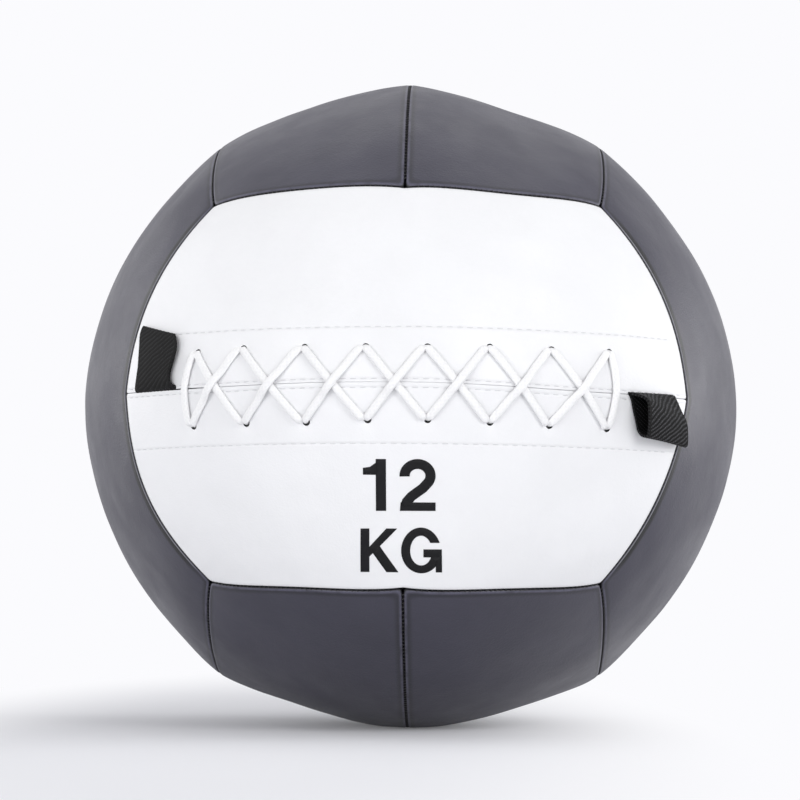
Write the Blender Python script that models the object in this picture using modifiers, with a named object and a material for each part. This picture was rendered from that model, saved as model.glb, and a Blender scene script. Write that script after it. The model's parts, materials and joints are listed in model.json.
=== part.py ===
"""Soft wall ball: twelve sewn panels with a laced opening and two webbing loops.

The cover follows a cube. Each of its six faces is split by a seam into two five-sided panels,
and the seams of neighbouring faces run crosswise, so that each seam ends at the middle of a
neighbour's edge. A panel is a sheet with a rolled edge and a turned-in seam allowance. Foam pads,
an inner bag, fibre filling and a ballast bag lie under the panels.

Metres and degrees, +Z is up and the laced face looks along -Y. The origin is in the middle of the
underside of the whole ball.
"""

import math

import bmesh
import bpy
import numpy as np
from mathutils import Matrix, Vector

# Ball
ball_width = 0.350
ball_height = 0.3457
press_depth = 0.0015
base_cut_depth = 0.0005

# Seam layout: half the angle that each face's own seam spans, seen from the middle of the ball
laced_seam_angle = 54.1
level_seam_angle = 55.5
side_seam_angle = 55.4
corner_direction_shares = (0.985, 1.0, 0.963)
corner_drop_share = 0.03
corner_lean_share = 0.88
front_dip_share = 0.022
rear_dip_share = 0.022
side_dip_share = 0.012
top_left_dip_share = 0.020
top_right_dip_share = 0.031
bottom_left_dip_share = 0.016
bottom_right_dip_share = 0.012

# Settled filling: a fuller belly on both sides, fuller lower shoulders and sunken upper flanks
belly_swell_share = 0.010
belly_swell_spread = 14.0
shoulder_swell_share = 0.016
shoulder_swell_spread = 7.5
flank_sink_share = 0.012
flank_sink_spread = 14.0
flank_angle = 41.0

# Sewn panels
panel_thickness = 0.0030
seam_gap = 0.0003
seam_roll_width = 0.0026
seam_roll_depth = 0.0025
panel_columns = 12
panel_rows = panel_columns // 2

# Layers behind the panels
layer_gap = 0.0007
foam_gap = 0.0012
facing_thickness = 0.0015
facing_width = 0.0300
tongue_thickness = 0.0015
tongue_width = 0.0680
tongue_length = 0.2400
pad_lacing_gap = 0.0020
bag_thickness = 0.0015
facing_steps = 2
tongue_steps = 4
layer_columns = 6
layer_rows = layer_columns // 2

# Lace and its holes
lace_diameter = 0.0032
lace_self_gap = 0.0008
lace_rest_gap = 0.0006
hole_pitch = 0.0310
hole_rise = 0.0180
hole_margin = 0.0540
hole_clearance = 0.0008
hole_sides = 10
left_bar_bow = 0.0040
right_bar_bow = 0.0005
lace_end_rise = 0.0030
bend_shares = ((0.0, 0.25), (0.31, 0.75), (1.1, 0.84))
crossing_shares = (0.34, 0.5, 0.66)
crossing_lift_shares = (0.6, 1.0, 0.6)

# Webbing loops
webbing_width = 0.0300
webbing_thickness = 0.0016
webbing_ply_gap = 0.0004
webbing_rest_gap = 0.0006
left_loop_length = 0.0300
right_loop_length = 0.0240
loop_skew = 0.0060
right_loop_mouth = 0.0090
right_loop_tilt = 21.0
left_loop_angle = -45.8
right_loop_angle = 43.0
loop_root_rise = 0.0012
loop_steps = 4
fold_steps = 4
mouth_steps = 14

# Inner bag, filling and ballast
bag_mouth_radius = 0.0340
ballast_bag_radius = 0.0600
ballast_bag_thickness = 0.0020
ballast_neck_radius = 0.0110
ballast_neck_length = 0.0220
ballast_gap = 0.0006
turned_steps = 18
cutter_overrun = 0.0040

# Derived sizes
half_width = ball_width / 2
half_height = (ball_height + press_depth + base_cut_depth) / 2
flatten = np.array((1.0, 1.0, half_height / half_width))
lace_radius = lace_diameter / 2
lace_step = lace_diameter + lace_self_gap
facing_depth = panel_thickness + layer_gap
facing_inner_depth = facing_depth + facing_thickness
lace_near_depth = facing_inner_depth + bend_shares[1][1] * lace_diameter
lace_far_depth = lace_near_depth + lace_step
lace_under_lift = lace_radius + lace_rest_gap
lace_over_lift = lace_under_lift + lace_step
tongue_depth = lace_far_depth + lace_radius + layer_gap
allowance_depth = tongue_depth + tongue_thickness
bag_depth = allowance_depth + layer_gap
filling_depth = bag_depth + bag_thickness + layer_gap
pad_depth = panel_thickness + foam_gap
allowance_inner_share = 1 - allowance_depth / half_width
allowance_inset = (seam_gap / 2 + panel_thickness + layer_gap) / allowance_inner_share / corner_lean_share
facing_edge = allowance_inset + facing_width
hole_half_width = lace_diameter + lace_self_gap / 2 + hole_clearance
hole_half_height = lace_radius + hole_clearance
lace_proud = lace_over_lift + lace_radius
ball_centre = (0.0, lace_proud / 2, half_height - press_depth - base_cut_depth)

# Elevation, share of the radius and spread of each swell
swell_table = (
    (0.0, belly_swell_share, belly_swell_spread),
    (-side_seam_angle, shoulder_swell_share, shoulder_swell_spread),
    (flank_angle, -flank_sink_share, flank_sink_spread),
)

white = (0.80, 0.81, 0.83, 1.0)
grey = (0.105, 0.100, 0.115, 1.0)
black = (0.016, 0.016, 0.017, 1.0)
lace_white = (0.78, 0.78, 0.78, 1.0)
cloth_white = (0.62, 0.62, 0.60, 1.0)
foam_grey = (0.30, 0.31, 0.33, 1.0)
canvas = (0.44, 0.38, 0.28, 1.0)
fibre = (0.34, 0.36, 0.42, 1.0)
steel_grit = (0.20, 0.19, 0.18, 1.0)


def unit(vector):
    """The vector at length one."""
    return vector / np.linalg.norm(vector)


def arc_point(start, end, share):
    """A direction part of the way along the great circle from one direction to another."""
    angle = math.acos(float(np.dot(start, end)))
    first = math.sin((1 - share) * angle)
    second = math.sin(share * angle)
    return (start * first + end * second) / math.sin(angle)


def angle_between(first, second):
    """The angle between two directions, in radians."""
    return math.acos(min(1.0, float(np.dot(first, second))))


def settling(direction):
    """How much further out the settled filling holds the cover, as a share of the radius."""
    outward = np.array((abs(direction[0]), direction[1], direction[2]))
    total = 0.0
    for elevation, share, spread in swell_table:
        turn = math.radians(elevation)
        crest = np.array((math.cos(turn), 0.0, math.sin(turn)))
        away = math.degrees(angle_between(outward, crest)) / spread
        total += share * math.exp(-(away ** 2))
    return total


class Panel:
    """A five-sided panel of the cover.

    Its near edge is the seam across its own face. Its far edge bends at the end of the seam of the
    face beyond. Places on it are shares: along the near edge, and across from near to far edge.
    """

    def __init__(self, normal, across, near_angle, far_angle, dip_share):
        normal = np.array(normal, dtype=float)
        across = np.array(across, dtype=float)
        along = np.cross(across, normal)
        near = math.radians(near_angle)
        far = math.radians(far_angle)
        shares = np.array(corner_direction_shares)
        self.dip_share = dip_share
        self.start = normal * math.cos(near) - along * math.sin(near)
        self.end = normal * math.cos(near) + along * math.sin(near)
        self.far_start = unit((normal - along + across) * shares)
        self.far_end = unit((normal + along + across) * shares)
        self.far_middle = across * math.cos(far) + normal * math.sin(far)

    def edges(self):
        """The edges in order round the panel, each as its two ends."""
        return {
            "near": (self.start, self.end),
            "end": (self.end, self.far_end),
            "far_end": (self.far_end, self.far_middle),
            "far_start": (self.far_middle, self.far_start),
            "start": (self.far_start, self.start),
        }

    def far_edge(self, along):
        """A direction on the far edge."""
        if along < 0.5:
            return arc_point(self.far_start, self.far_middle, 2 * along)
        return arc_point(self.far_middle, self.far_end, 2 * along - 1)

    def direction(self, along, across):
        """A direction on the panel, blended from its four sides."""
        near = arc_point(self.start, self.end, along)
        far = self.far_edge(along)
        start = arc_point(self.start, self.far_start, across)
        end = arc_point(self.end, self.far_end, across)
        near_ends = (1 - along) * self.start + along * self.end
        far_ends = (1 - along) * self.far_start + along * self.far_end
        ruled = (1 - across) * near + across * far + (1 - along) * start + along * end
        return unit(ruled - (1 - across) * near_ends - across * far_ends)

    def radius(self, along, across):
        """How far the surface lies from the middle: low at corners, flatter between seams."""
        side = 2 * along - 1
        dip = (4 * across * (1 - across) + math.sin(math.pi * across) ** 2) / 2
        drop = corner_drop_share * (across * side) ** 2
        form = 1 - drop - self.dip_share * dip * (1 - side ** 4)
        return half_width * form * (1 + settling(self.direction(along, across)))

    def point(self, along, across, depth):
        """A place at a depth under the surface, with the underside pressed flat by the weight."""
        place = (self.radius(along, across) - depth) * self.direction(along, across) * flatten
        place[2] = max(place[2], depth - base_cut_depth - ball_centre[2])
        return place

    def row_length(self, across):
        """The length of the panel from side to side, at a share across it."""
        start = self.direction(0.0, across)
        end = self.direction(1.0, across)
        return half_width * angle_between(start, end)

    def column_length(self, along):
        """The length of the panel from near to far edge, at a share along it."""
        return half_width * angle_between(self.direction(along, 0.0), self.direction(along, 1.0))

    def seam_plane(self, edge):
        """The normal of the plane through a seam and the middle, towards the panel."""
        first, second = self.edges()[edge]
        normal = unit(np.cross(first * flatten, second * flatten))
        inside = self.direction(0.5, 0.5) * flatten
        return normal if np.dot(normal, inside) > 0 else -normal


front = (0, -1, 0)
rear = (0, 1, 0)
left = (-1, 0, 0)
right = (1, 0, 0)
top = (0, 0, 1)
bottom = (0, 0, -1)

# Name, face, direction across the face, own and far seam angles, dip, colour
panel_table = (
    ("front_upper", front, top, laced_seam_angle, level_seam_angle, front_dip_share, white),
    ("front_lower", front, bottom, laced_seam_angle, level_seam_angle, front_dip_share, white),
    ("rear_upper", rear, top, laced_seam_angle, level_seam_angle, rear_dip_share, grey),
    ("rear_lower", rear, bottom, laced_seam_angle, level_seam_angle, rear_dip_share, grey),
    ("left_front", left, front, side_seam_angle, laced_seam_angle, side_dip_share, grey),
    ("left_rear", left, rear, side_seam_angle, laced_seam_angle, side_dip_share, grey),
    ("right_front", right, front, side_seam_angle, laced_seam_angle, side_dip_share, grey),
    ("right_rear", right, rear, side_seam_angle, laced_seam_angle, side_dip_share, grey),
    ("top_left", top, left, level_seam_angle, side_seam_angle, top_left_dip_share, grey),
    ("top_right", top, right, level_seam_angle, side_seam_angle, top_right_dip_share, grey),
    ("bottom_left", bottom, left, level_seam_angle, side_seam_angle, bottom_left_dip_share, grey),
    ("bottom_right", bottom, right, level_seam_angle, side_seam_angle, bottom_right_dip_share, grey),
)
panels = {row[0]: Panel(*row[1:6]) for row in panel_table}
colours = {row[0]: row[6] for row in panel_table}


def clear_scene():
    """Remove what the file opens with."""
    for thing in list(bpy.data.objects):
        bpy.data.objects.remove(thing)


def make_collection(name):
    """A collection under the scene."""
    group = bpy.data.collections.new(name)
    bpy.context.scene.collection.children.link(group)
    return group


def make_material(name, colour, roughness, metallic=0.0):
    """A plain surface of one colour."""
    material = bpy.data.materials.new(name)
    material.use_nodes = True
    shader = material.node_tree.nodes["Principled BSDF"]
    shader.inputs["Base Color"].default_value = colour
    shader.inputs["Roughness"].default_value = roughness
    shader.inputs["Metallic"].default_value = metallic
    return material


def make_object(name, shape, group, parent):
    """An object from a bmesh, at the middle of the ball."""
    data = bpy.data.meshes.new(name)
    shape.to_mesh(data)
    shape.free()
    thing = bpy.data.objects.new(name, data)
    group.objects.link(thing)
    thing.parent = parent
    return thing


def dress(thing, colour, roughness, metallic=0.0, sharp_angle=40):
    """Give a piece its material and smooth shading."""
    thing.data.materials.append(make_material(thing.name, colour, roughness, metallic))
    thing.data.shade_smooth()
    thing.data.set_sharp_from_angle(angle=math.radians(sharp_angle))


def hide_cutter(thing):
    """Keep a cutter out of the finished ball."""
    thing.hide_render = True
    thing.display_type = "WIRE"


def thicken(thing, thickness, offset=-1.0):
    """Turn a sheet into a solid, on its inner side unless told otherwise."""
    shell = thing.modifiers.new("Thickness", "SOLIDIFY")
    shell.thickness = thickness
    shell.offset = offset
    shell.use_even_offset = True


def cut(thing, cutter):
    """Take a cutter's shape out of a piece."""
    boolean = thing.modifiers.new("Cut by " + cutter.name, "BOOLEAN")
    boolean.operation = "DIFFERENCE"
    boolean.solver = "EXACT"
    boolean.object = cutter


def sheet_points(panel, columns, rows, inset, depth, near=None, width=None):
    """A grid of places on a panel, set in from its edges.

    near is the distance from the near edge, where it isn't the inset. width is the distance from
    there to the last row, where the grid doesn't run to the far edge.
    """
    grid = []
    for row in range(rows + 1):
        line = []
        for column in range(columns + 1):
            along = column / columns
            across = row / rows
            length = panel.column_length(along)
            low = (inset if near is None else near) / length
            high = 1 - inset / length if width is None else low + width / length
            reach = low + (high - low) * across
            side = inset / panel.row_length(reach)
            line.append(panel.point(side + (1 - 2 * side) * along, reach, depth))
        grid.append(line)
    return grid


def add_grid(shape, points):
    """Faces over a grid of places, facing out. Returns the grid of vertices."""
    grid = [[shape.verts.new(place) for place in line] for line in points]
    for lower, upper in zip(grid, grid[1:]):
        for column in range(len(lower) - 1):
            corners = (lower[column], lower[column + 1], upper[column + 1], upper[column])
            shape.faces.new(corners)
    return grid


def border(columns, rows):
    """Column, row and edges of each place on the border of a grid, in order round it."""
    middle = columns // 2
    places = [(column, 0, ("near",)) for column in range(1, columns)]
    places.append((columns, 0, ("near", "end")))
    places += [(columns, row, ("end",)) for row in range(1, rows)]
    places.append((columns, rows, ("end", "far_end")))
    places += [(column, rows, ("far_end",)) for column in range(columns - 1, middle, -1)]
    places.append((middle, rows, ("far_end", "far_start")))
    places += [(column, rows, ("far_start",)) for column in range(middle - 1, 0, -1)]
    places.append((0, rows, ("far_start", "start")))
    places += [(0, row, ("start",)) for row in range(rows - 1, 0, -1)]
    places.append((0, 0, ("start", "near")))
    return places


def seam_point(panel, along, across, depth, edges):
    """A place beside one seam or two, half the seam gap away from each."""
    place = panel.point(along, across, depth)
    normals = np.array([panel.seam_plane(edge) for edge in edges])
    short = seam_gap / 2 - normals @ place
    return place + np.linalg.lstsq(normals, short, rcond=None)[0]


def make_panel(name, group, parent):
    """A sewn panel: crown, rolled edge and seam allowance as one sheet with a thickness.

    The laced edge has a short hem instead of the full allowance, so that the lace can pass it.
    """
    panel = panels[name]
    shape = bmesh.new()
    points = sheet_points(panel, panel_columns, panel_rows, seam_roll_width, 0.0)
    grid = add_grid(shape, points)
    places = border(panel_columns, panel_rows)
    ring = [grid[row][column] for column, row, edges in places]
    for level in ("roll", "allowance"):
        below = []
        for column, row, edges in places:
            depth = seam_roll_depth
            if level == "allowance":
                hemmed = name in ("front_upper", "front_lower") and edges == ("near",)
                depth = facing_inner_depth if hemmed else allowance_depth
            along = column / panel_columns
            across = row / panel_rows
            below.append(shape.verts.new(seam_point(panel, along, across, depth, edges)))
        for index, vertex in enumerate(ring):
            before = index - 1
            shape.faces.new((vertex, ring[before], below[before], below[index]))
        ring = below
    thing = make_object(name + "_panel", shape, group, parent)
    thicken(thing, panel_thickness)
    dress(thing, colours[name], 0.42)
    return thing


def make_pad(name, group, parent):
    """A foam pad that fills the space between a panel, its seam allowances and the inner bag."""
    panel = panels[name]
    near = None
    if name in ("front_upper", "front_lower"):
        near = max(tongue_width / 2, facing_edge) + pad_lacing_gap
    outer = sheet_points(panel, layer_columns, layer_rows, allowance_inset, pad_depth, near)
    shape = bmesh.new()
    add_grid(shape, outer)
    sunk = bmesh.ops.extrude_face_region(shape, geom=list(shape.faces), use_keep_orig=True)
    thickness = allowance_depth - pad_depth
    for item in sunk["geom"]:
        if isinstance(item, bmesh.types.BMVert):
            inward = unit(np.array(item.co) / flatten) * flatten
            item.co -= Vector(inward * thickness)
    bmesh.ops.recalc_face_normals(shape, faces=list(shape.faces))
    thing = make_object(name + "_pad", shape, group, parent)
    dress(thing, foam_grey, 0.9)
    return thing


def front_point(run, rise, lift):
    """A place on the laced face: along the slit, up from it and out from the surface."""
    panel = panels["front_upper" if rise >= 0 else "front_lower"]
    sense = 1 if rise >= 0 else -1
    across = abs(rise) / panel.column_length(0.5 + run / panel.row_length(0.0) * sense)
    along = 0.5 + sense * run / panel.row_length(across)
    return panel.point(along, across, -lift)


def hole_runs():
    """Where the columns of lace holes stand along the slit."""
    slit_length = panels["front_upper"].row_length(0.0)
    columns = int((slit_length - 2 * hole_margin) / hole_pitch) + 1
    return [(column - (columns - 1) / 2) * hole_pitch for column in range(columns)]


def make_hole_cutter(name, rise, group, parent):
    """A row of oval punches, each square to the surface."""
    shape = bmesh.new()
    length = 2 * (facing_inner_depth + cutter_overrun)
    for run in hole_runs():
        middle = front_point(run, rise, 0.0)
        outward = unit(front_point(run, rise, lace_radius) - middle)
        sideways = unit(front_point(run + hole_half_width, rise, 0.0) - middle)
        upward = unit(np.cross(outward, sideways))
        sideways = np.cross(upward, outward)
        frame = Matrix.Identity(4)
        axes = (sideways * hole_half_width, upward * hole_half_height, outward * length)
        for index, axis in enumerate(axes + (middle,)):
            for part in range(3):
                frame[part][index] = axis[part]
        bmesh.ops.create_cone(
            shape, cap_ends=True, segments=hole_sides, radius1=1, radius2=1, depth=1, matrix=frame
        )
    thing = make_object(name, shape, group, parent)
    hide_cutter(thing)
    return thing


def make_facing(name, group, parent):
    """A strip behind a row of lace holes, from the hem to the long stitch line."""
    panel = panels[name]
    shape = bmesh.new()
    points = sheet_points(
        panel,
        panel_columns,
        facing_steps,
        allowance_inset,
        facing_depth,
        allowance_inset,
        facing_width,
    )
    add_grid(shape, points)
    thing = make_object(name.split("_")[1] + "_lace_facing", shape, group, parent)
    thicken(thing, facing_thickness)
    dress(thing, cloth_white, 0.8)
    return thing


def make_tongue(group, parent):
    """The flap behind the slit, as one sheet across both laced panels."""
    shape = bmesh.new()
    points = []
    for row in range(tongue_steps + 1):
        rise = tongue_width * (row / tongue_steps - 1 / 2)
        runs = [tongue_length * (column / panel_columns - 1 / 2) for column in range(panel_columns + 1)]
        points.append([front_point(run, rise, -tongue_depth) for run in runs])
    add_grid(shape, points)
    thing = make_object("lacing_tongue", shape, group, parent)
    thicken(thing, tongue_thickness)
    dress(thing, cloth_white, 0.8)
    return thing


def strand_bend(place, heading, inside_depth=None):
    """The lace's way round the edge of a hole: its places from the hole outwards.

    A heading is a direction along the slit and up from it. With an inside depth the bend lies
    behind the facing and its level part runs at that depth.
    """
    length = math.hypot(heading[0], heading[1])
    route = []
    for ahead, lift in bend_shares[: 3 if inside_depth is None else 2]:
        step = ahead * lace_diameter / length
        height = lift * lace_diameter
        if inside_depth is not None:
            height = -inside_depth + (bend_shares[1][1] - lift) * lace_diameter
        route.append((place[0] + heading[0] * step, place[1] + heading[1] * step, height))
    return route


def outside_run(first, second, over):
    """The lace from one hole to another over the face, above or under the strand it crosses."""
    heading = (second[0] - first[0], second[1] - first[1])
    back = (-heading[0], -heading[1])
    route = strand_bend(first, heading)
    shares = crossing_shares if over else (0.5,)
    lifts = crossing_lift_shares if over else (0.0,)
    for share, lift in zip(shares, lifts):
        height = lace_under_lift + (lace_over_lift - lace_under_lift) * lift
        route.append((first[0] + heading[0] * share, first[1] + heading[1] * share, height))
    return route + strand_bend(second, back)[::-1]


def inside_run(first, second, depth):
    """The lace from one hole to another behind the facing."""
    heading = (second[0] - first[0], second[1] - first[1])
    back = (-heading[0], -heading[1])
    middle = ((first[0] + second[0]) / 2, (first[1] + second[1]) / 2, -depth)
    return strand_bend(first, heading, depth) + [middle] + strand_bend(second, back, depth)[::-1]


def bar_run(first, second, bow):
    """The lace over the face between the two holes of an end column, bowed out to one side."""
    middle = (first[0] + bow, (first[1] + second[1]) / 2)
    rise = strand_bend(first, (middle[0] - first[0], middle[1] - first[1]))
    fall = strand_bend(second, (middle[0] - second[0], middle[1] - second[1]))
    return rise + [(middle[0], middle[1], lace_under_lift)] + fall[::-1]


def lace_route():
    """The whole lace, as places along the slit, up from it and out from the surface.

    It starts behind the last column and runs in rising strands to the first, crosses the first bar,
    comes back in falling strands under them, and ends past the last bar. Each hole holds two
    strands side by side.
    """
    side = lace_step / 2
    upper = [((run - side, hole_rise), (run + side, hole_rise)) for run in hole_runs()]
    lower = [((run - side, -hole_rise), (run + side, -hole_rise)) for run in hole_runs()]
    last = len(upper) - 1
    loose_run = (upper[last][0][0] + lower[last][1][0]) / 2
    route = [(loose_run, lace_end_rise, -lace_near_depth)]
    route += strand_bend(upper[last][0], (0, -1), lace_near_depth)[::-1]
    for column in range(last, 0, -1):
        route += outside_run(upper[column][0], lower[column - 1][1], True)
        route += inside_run(lower[column - 1][1], upper[column - 1][0], lace_near_depth)
    route += bar_run(upper[0][0], lower[0][0], -left_bar_bow)
    for column in range(last):
        route += inside_run(lower[column][0], upper[column][1], lace_far_depth)
        route += outside_run(upper[column][1], lower[column + 1][0], False)
    route += inside_run(lower[last][0], upper[last][1], lace_far_depth)
    route += bar_run(upper[last][1], lower[last][1], right_bar_bow)
    route += strand_bend(lower[last][1], (0, 1), lace_near_depth)
    route.append((loose_run, -lace_end_rise, -lace_near_depth))
    return route


def least_gap(points, diameter):
    """The least space between stretches of a cord that aren't next to each other."""
    dense = []
    for first, second in zip(points, points[1:]):
        count = max(1, int(np.linalg.norm(second - first) / (diameter / 4)))
        dense += [first + (second - first) * step / count for step in range(count)]
    dense = np.array(dense)
    steps = np.linalg.norm(np.diff(dense, axis=0), axis=1)
    travelled = np.concatenate(([0.0], np.cumsum(steps)))
    apart = np.linalg.norm(dense[:, None] - dense[None, :], axis=2)
    near_in_run = np.abs(travelled[:, None] - travelled[None, :]) < 3 * diameter
    apart[near_in_run] = math.inf
    return float(apart.min()) - diameter


def make_lace(group, parent):
    """The lace as one unbroken tube along its route."""
    points = [front_point(*place) for place in lace_route()]
    gap = least_gap(np.array(points), lace_diameter)
    print("Least gap of the lace to itself, in metres:", round(gap, 5))
    curve = bpy.data.curves.new("lace", "CURVE")
    curve.dimensions = "3D"
    curve.bevel_depth = lace_radius
    curve.bevel_resolution = 1
    curve.use_fill_caps = True
    spline = curve.splines.new("POLY")
    spline.points.add(len(points) - 1)
    for target, place in zip(spline.points, points):
        target.co = (*place, 1.0)
    thing = bpy.data.objects.new("lace", curve)
    curve.materials.append(make_material("lace", lace_white, 0.75))
    group.objects.link(thing)
    thing.parent = parent
    return thing


def loop_frame(angle, rise):
    """Where a loop's root stands on the face, and the outward direction there."""
    turn = math.radians(angle)
    outward = np.array((math.sin(turn), -math.cos(turn), 0.0))
    root = front_point(turn * half_width, rise, 0.0)
    return root, outward


def face_height(angle, rise, root):
    """How far the face stands out under the width of a loop, from the loop's root."""
    turn = math.radians(angle)
    outward = loop_frame(angle, rise)[1]
    heights = []
    for share in (-0.5, -0.25, 0.0, 0.25, 0.5):
        place = front_point(turn * half_width + share * webbing_width, rise, 0.0)
        heights.append(float(np.dot(place - root, outward)))
    return max(heights)


def flat_loop_profile(angle, rise, root, length, root_height):
    """A doubled strap lying on the face, as places up from the root and out from it."""
    radius = (webbing_thickness + webbing_ply_gap) / 2
    rear_ply = []
    for step in range(loop_steps + 1):
        reach = (length - radius - webbing_thickness / 2) * step / loop_steps
        height = face_height(angle, rise + math.copysign(reach, rise), root)
        rear_ply.append((reach, height + webbing_rest_gap + webbing_thickness / 2 - root_height))
    end = rear_ply[-1]
    fold = []
    for step in range(1, fold_steps):
        turn = math.pi * step / fold_steps
        fold.append((end[0] + radius * math.sin(turn), end[1] + radius * (1 - math.cos(turn))))
    front_ply = [(reach, height + 2 * radius) for reach, height in reversed(rear_ply)]
    return rear_ply + fold + front_ply


def open_loop_profile(length, mouth, tilt):
    """A doubled strap that bulges open, as places down from the root and out from it."""
    root_side = (webbing_thickness + webbing_ply_gap) / 2
    bulge = (mouth + webbing_thickness) / 2
    widest = 4 / (3 * math.sqrt(3))
    profile = []
    for step in range(mouth_steps + 1):
        turn = 2 * math.pi * step / mouth_steps
        out = (length - webbing_thickness / 2) * (1 - math.cos(turn)) / 2
        swell = bulge * math.sin(turn) * abs(math.sin(turn / 2)) / widest
        blend = root_side * math.cos(turn / 2)
        side = -(swell * (1 - root_side / bulge) + blend)
        lean = math.radians(tilt)
        profile.append((
            out * math.cos(lean) - side * math.sin(lean),
            out * math.sin(lean) + side * math.cos(lean),
        ))
    return profile


def make_loop(name, angle, rise, profiles, root_height, group, parent):
    """A webbing loop between the profiles of its two sides, hinged at its root."""
    root, outward = loop_frame(angle, rise)
    sense = math.copysign(1.0, rise)
    shape = bmesh.new()
    points = []
    for side, profile in zip((-webbing_width / 2, webbing_width / 2), profiles):
        points.append([(side, -height, sense * reach) for reach, height in profile])
    add_grid(shape, points)
    bmesh.ops.recalc_face_normals(shape, faces=list(shape.faces))
    thing = make_object(name, shape, group, parent)
    thing.location = root + outward * root_height
    thing.rotation_euler = (0.0, 0.0, math.radians(angle))
    thicken(thing, webbing_thickness, 0.0)
    dress(thing, black, 0.8)
    return thing


def layer_shape(depth):
    """A closed skin at a depth under all twelve panels."""
    shape = bmesh.new()
    for panel in panels.values():
        points = []
        for row in range(layer_rows + 1):
            shares = [column / layer_columns for column in range(layer_columns + 1)]
            points.append([panel.point(share, row / layer_rows, depth) for share in shares])
        add_grid(shape, points)
    bmesh.ops.remove_doubles(shape, verts=list(shape.verts), dist=seam_gap / 3)
    bmesh.ops.recalc_face_normals(shape, faces=list(shape.faces))
    return shape


def make_mouth_cutter(group, parent):
    """A round way from the opening to the ballast bag."""
    shape = bmesh.new()
    turn = Matrix.Rotation(math.radians(90), 4, "X")
    bmesh.ops.create_cone(
        shape,
        cap_ends=True,
        segments=turned_steps,
        radius1=bag_mouth_radius,
        radius2=bag_mouth_radius,
        depth=half_width,
        matrix=Matrix.Translation((0.0, -half_width / 2, 0.0)) @ turn,
    )
    thing = make_object("mouth_cutter", shape, group, parent)
    hide_cutter(thing)
    return thing


def make_cavity_cutter(group, parent):
    """The round hollow in the filling that holds the ballast bag."""
    shape = bmesh.new()
    bmesh.ops.create_uvsphere(
        shape,
        u_segments=turned_steps,
        v_segments=turned_steps // 2,
        radius=(ballast_bag_radius + layer_gap) / math.cos(math.pi / turned_steps) ** 2,
    )
    thing = make_object("cavity_cutter", shape, group, parent)
    hide_cutter(thing)
    return thing


def make_base_cutter(group, parent):
    """A block whose top is the surface that the ball rests on."""
    shape = bmesh.new()
    bmesh.ops.create_cube(shape, size=half_width)
    thing = make_object("base_cutter", shape, group, parent)
    thing.location = (0.0, 0.0, -ball_centre[2] - half_width / 2)
    hide_cutter(thing)
    return thing


def turned_object(name, profile, group, parent):
    """A profile of radius and height pairs, turned about Z and then laid along -Y."""
    shape = bmesh.new()
    verts = [shape.verts.new((radius, 0.0, height)) for radius, height in profile]
    for pair in zip(verts, verts[1:]):
        shape.edges.new(pair)
    thing = make_object(name, shape, group, parent)
    thing.rotation_euler = (math.radians(90), 0.0, 0.0)
    screw = thing.modifiers.new("Turn", "SCREW")
    screw.angle = math.tau
    screw.steps = turned_steps
    screw.render_steps = turned_steps
    screw.use_merge_vertices = True
    screw.merge_threshold = seam_gap / 3
    return thing


def make_ballast_bag(group, parent):
    """A round bag with a gathered neck that stands open towards the mouth of the inner bag."""
    neck_turn = math.asin(ballast_neck_radius / ballast_bag_radius)
    profile = [(ballast_neck_radius, ballast_bag_radius * math.cos(neck_turn) + ballast_neck_length)]
    steps = turned_steps // 2
    for step in range(steps + 1):
        turn = neck_turn + (math.pi - neck_turn) * step / steps
        profile.append((ballast_bag_radius * math.sin(turn), ballast_bag_radius * math.cos(turn)))
    profile[-1] = (0.0, -ballast_bag_radius)
    thing = turned_object("ballast_bag", profile, group, parent)
    thicken(thing, ballast_bag_thickness)
    dress(thing, canvas, 0.85)
    return thing


def make_ballast(group, parent):
    """Steel grit that fills the bag up to its neck."""
    shape = bmesh.new()
    bmesh.ops.create_uvsphere(
        shape,
        u_segments=turned_steps,
        v_segments=turned_steps // 2,
        radius=(ballast_bag_radius - ballast_bag_thickness) * math.cos(math.pi / turned_steps) ** 2
        - ballast_gap,
    )
    thing = make_object("ballast", shape, group, parent)
    dress(thing, steel_grit, 0.6, 0.8)
    return thing


def make_loops(group, parent):
    """Both webbing loops, each with its root on the slit and its outer side the longer one."""
    first_height = webbing_rest_gap + webbing_thickness + webbing_ply_gap / 2
    half_skew = loop_skew / 2
    angle, rise = left_loop_angle, loop_root_rise
    root = loop_frame(angle, rise)[0]
    height = first_height + face_height(angle, rise, root)
    lengths = (left_loop_length + half_skew, left_loop_length - half_skew)
    profiles = [flat_loop_profile(angle, rise, root, length, height) for length in lengths]
    make_loop("left_webbing_loop", angle, rise, profiles, height, group, parent)
    angle, rise = right_loop_angle, -loop_root_rise
    root = loop_frame(angle, rise)[0]
    height = first_height + face_height(angle, rise, root)
    lengths = (right_loop_length - half_skew, right_loop_length + half_skew)
    profiles = [open_loop_profile(length, right_loop_mouth, right_loop_tilt) for length in lengths]
    make_loop("right_webbing_loop", angle, rise, profiles, height, group, parent)


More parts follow.
